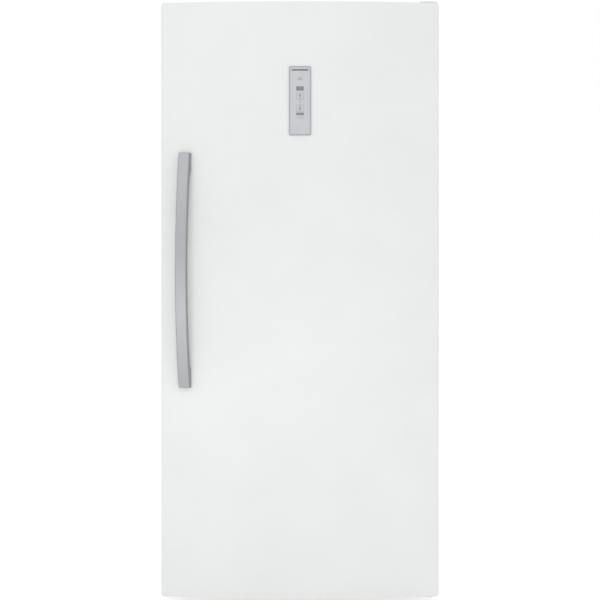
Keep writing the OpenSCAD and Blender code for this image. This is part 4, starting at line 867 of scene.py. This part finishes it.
def arrow(z, way):
    neck, tail = z + way * NECK, z + way * TAIL
    return [[(-HEAD_HALF, neck), (HEAD_HALF, neck), (0, z + way * TIP)],
            bar(-STEM_HALF, min(tail, neck), STEM_HALF, max(tail, neck))]


def across(half_width, low, high):
    """A bar across the panel's middle, from low to high over its centre."""
    return bar(-half_width, PANEL_Z + low, half_width, PANEL_Z + high)


printed("up_arrow", "up_button", grey_ink, "dark_window", arrow(PANEL_Z + 0.014, 1), *BUTTON_Y)
printed("down_arrow", "down_button", grey_ink, "dark_window", arrow(PANEL_Z - 0.022, -1),
        *BUTTON_Y)
printed("inlay_bar", "door", dark_ink, "dark_window", [across(0.0247, 0.0902, 0.0938)], *INLAY_Y)
triangle = [(-0.010, PANEL_Z + 0.0625), (0.010, PANEL_Z + 0.0625), (0, PANEL_Z + 0.0735)]
lines = [across(0.011, -0.0502, -0.0490), across(0.011, -0.0542, -0.0530)]
printed("panel_marks", "door", faint_ink, "panel_silver", [triangle, *lines], *MARKS_Y)
print("panel marks made")

# %% [markdown]
# ## Foam plugs
# The back sheet has four plugs where the foam was injected. They are shallow domes: a disc that
# starts just inside the sheet, extruded by a millimetre, with its rim bevelled.

# %% Foam plugs
BACK_Y = 0.3655
PLUG_SINK, PLUG_RADIUS, PLUG_DEPTH, PLUG_ROUND = 0.0002, 0.016, 0.001, 0.0006
UPRIGHT = Matrix.Rotation(math.radians(90), 4, "X")
bm = bmesh.new()
for x in (-0.25, 0.25):
    for z in (0.55, 1.45):
        place = Matrix.Translation((x, BACK_Y - PLUG_SINK, z))
        disc = bmesh.ops.create_circle(bm, cap_ends=True, segments=40, radius=PLUG_RADIUS,
                                       matrix=place @ UPRIGHT)
        made = drawn_out(bm, disc["verts"][0].link_faces[0], (0, PLUG_DEPTH, 0))
        rim = [g for g in made if isinstance(g, bmesh.types.BMEdge)]
        round_edges(bm, rim, PLUG_ROUND, 3)
bmesh.ops.recalc_face_normals(bm, faces=bm.faces[:])
plugs = finished("foam_plugs", bm, "cabinet", grey_abs)
print("plug faces", len(plugs.data.polygons))

# %% [markdown]
# ## Painted shade in the screw recesses
# The rear cover's eight screws have crossed recesses. A recess this small is drawn as painted
# shade: two thin black bars laid across each other, which spares a cut in every head.

# %% Painted shade in the screw recesses
RECESS_Y = (0.36569, 0.36575)
HALF_LONG, HALF_NARROW = 0.0026, 0.0005
crosses = []
for x in (-0.33, -0.11, 0.11, 0.33):
    for z in (0.060, 0.242):
        for a, b in ((HALF_LONG, HALF_NARROW), (HALF_NARROW, HALF_LONG)):
            crosses.append(bar(x - a, z - b, x + a, z + b))
# Painted shade: black bars where the shade in each recess falls.
printed("screw_recess_painted_shade", "cabinet", black_lacquer, "bare_steel", crosses, *RECESS_Y)
print("bars:", len(crosses))

# %% [markdown]
# ## The compressor's welded seam
# A compressor's shell is two cups welded together, so it has a raised seam round its middle. A
# small ring is spun once about the shell's upright axis, which gives a slim torus.

# %% Shell seam
SHELL_CENTRE, SHELL_RADIUS, SEAM_RADIUS = (0.25, 0.2585, 0.148), 0.0705, 0.0022
bm = bmesh.new()
ring = bmesh.ops.create_circle(bm, segments=12, radius=SEAM_RADIUS,
                               matrix=Matrix.Translation((SHELL_RADIUS, 0, 0)) @ UPRIGHT)
bmesh.ops.spin(bm, geom=ring["verts"] + bm.edges[:], cent=(0, 0, 0), axis=(0, 0, 1),
               angle=math.tau, steps=72, use_merge=True)
bmesh.ops.recalc_face_normals(bm, faces=bm.faces[:])
bmesh.ops.translate(bm, vec=SHELL_CENTRE, verts=bm.verts[:])
seam = finished("shell_seam", bm, "cabinet", black_lacquer)
smooth(seam)
print("seam faces", len(seam.data.polygons))
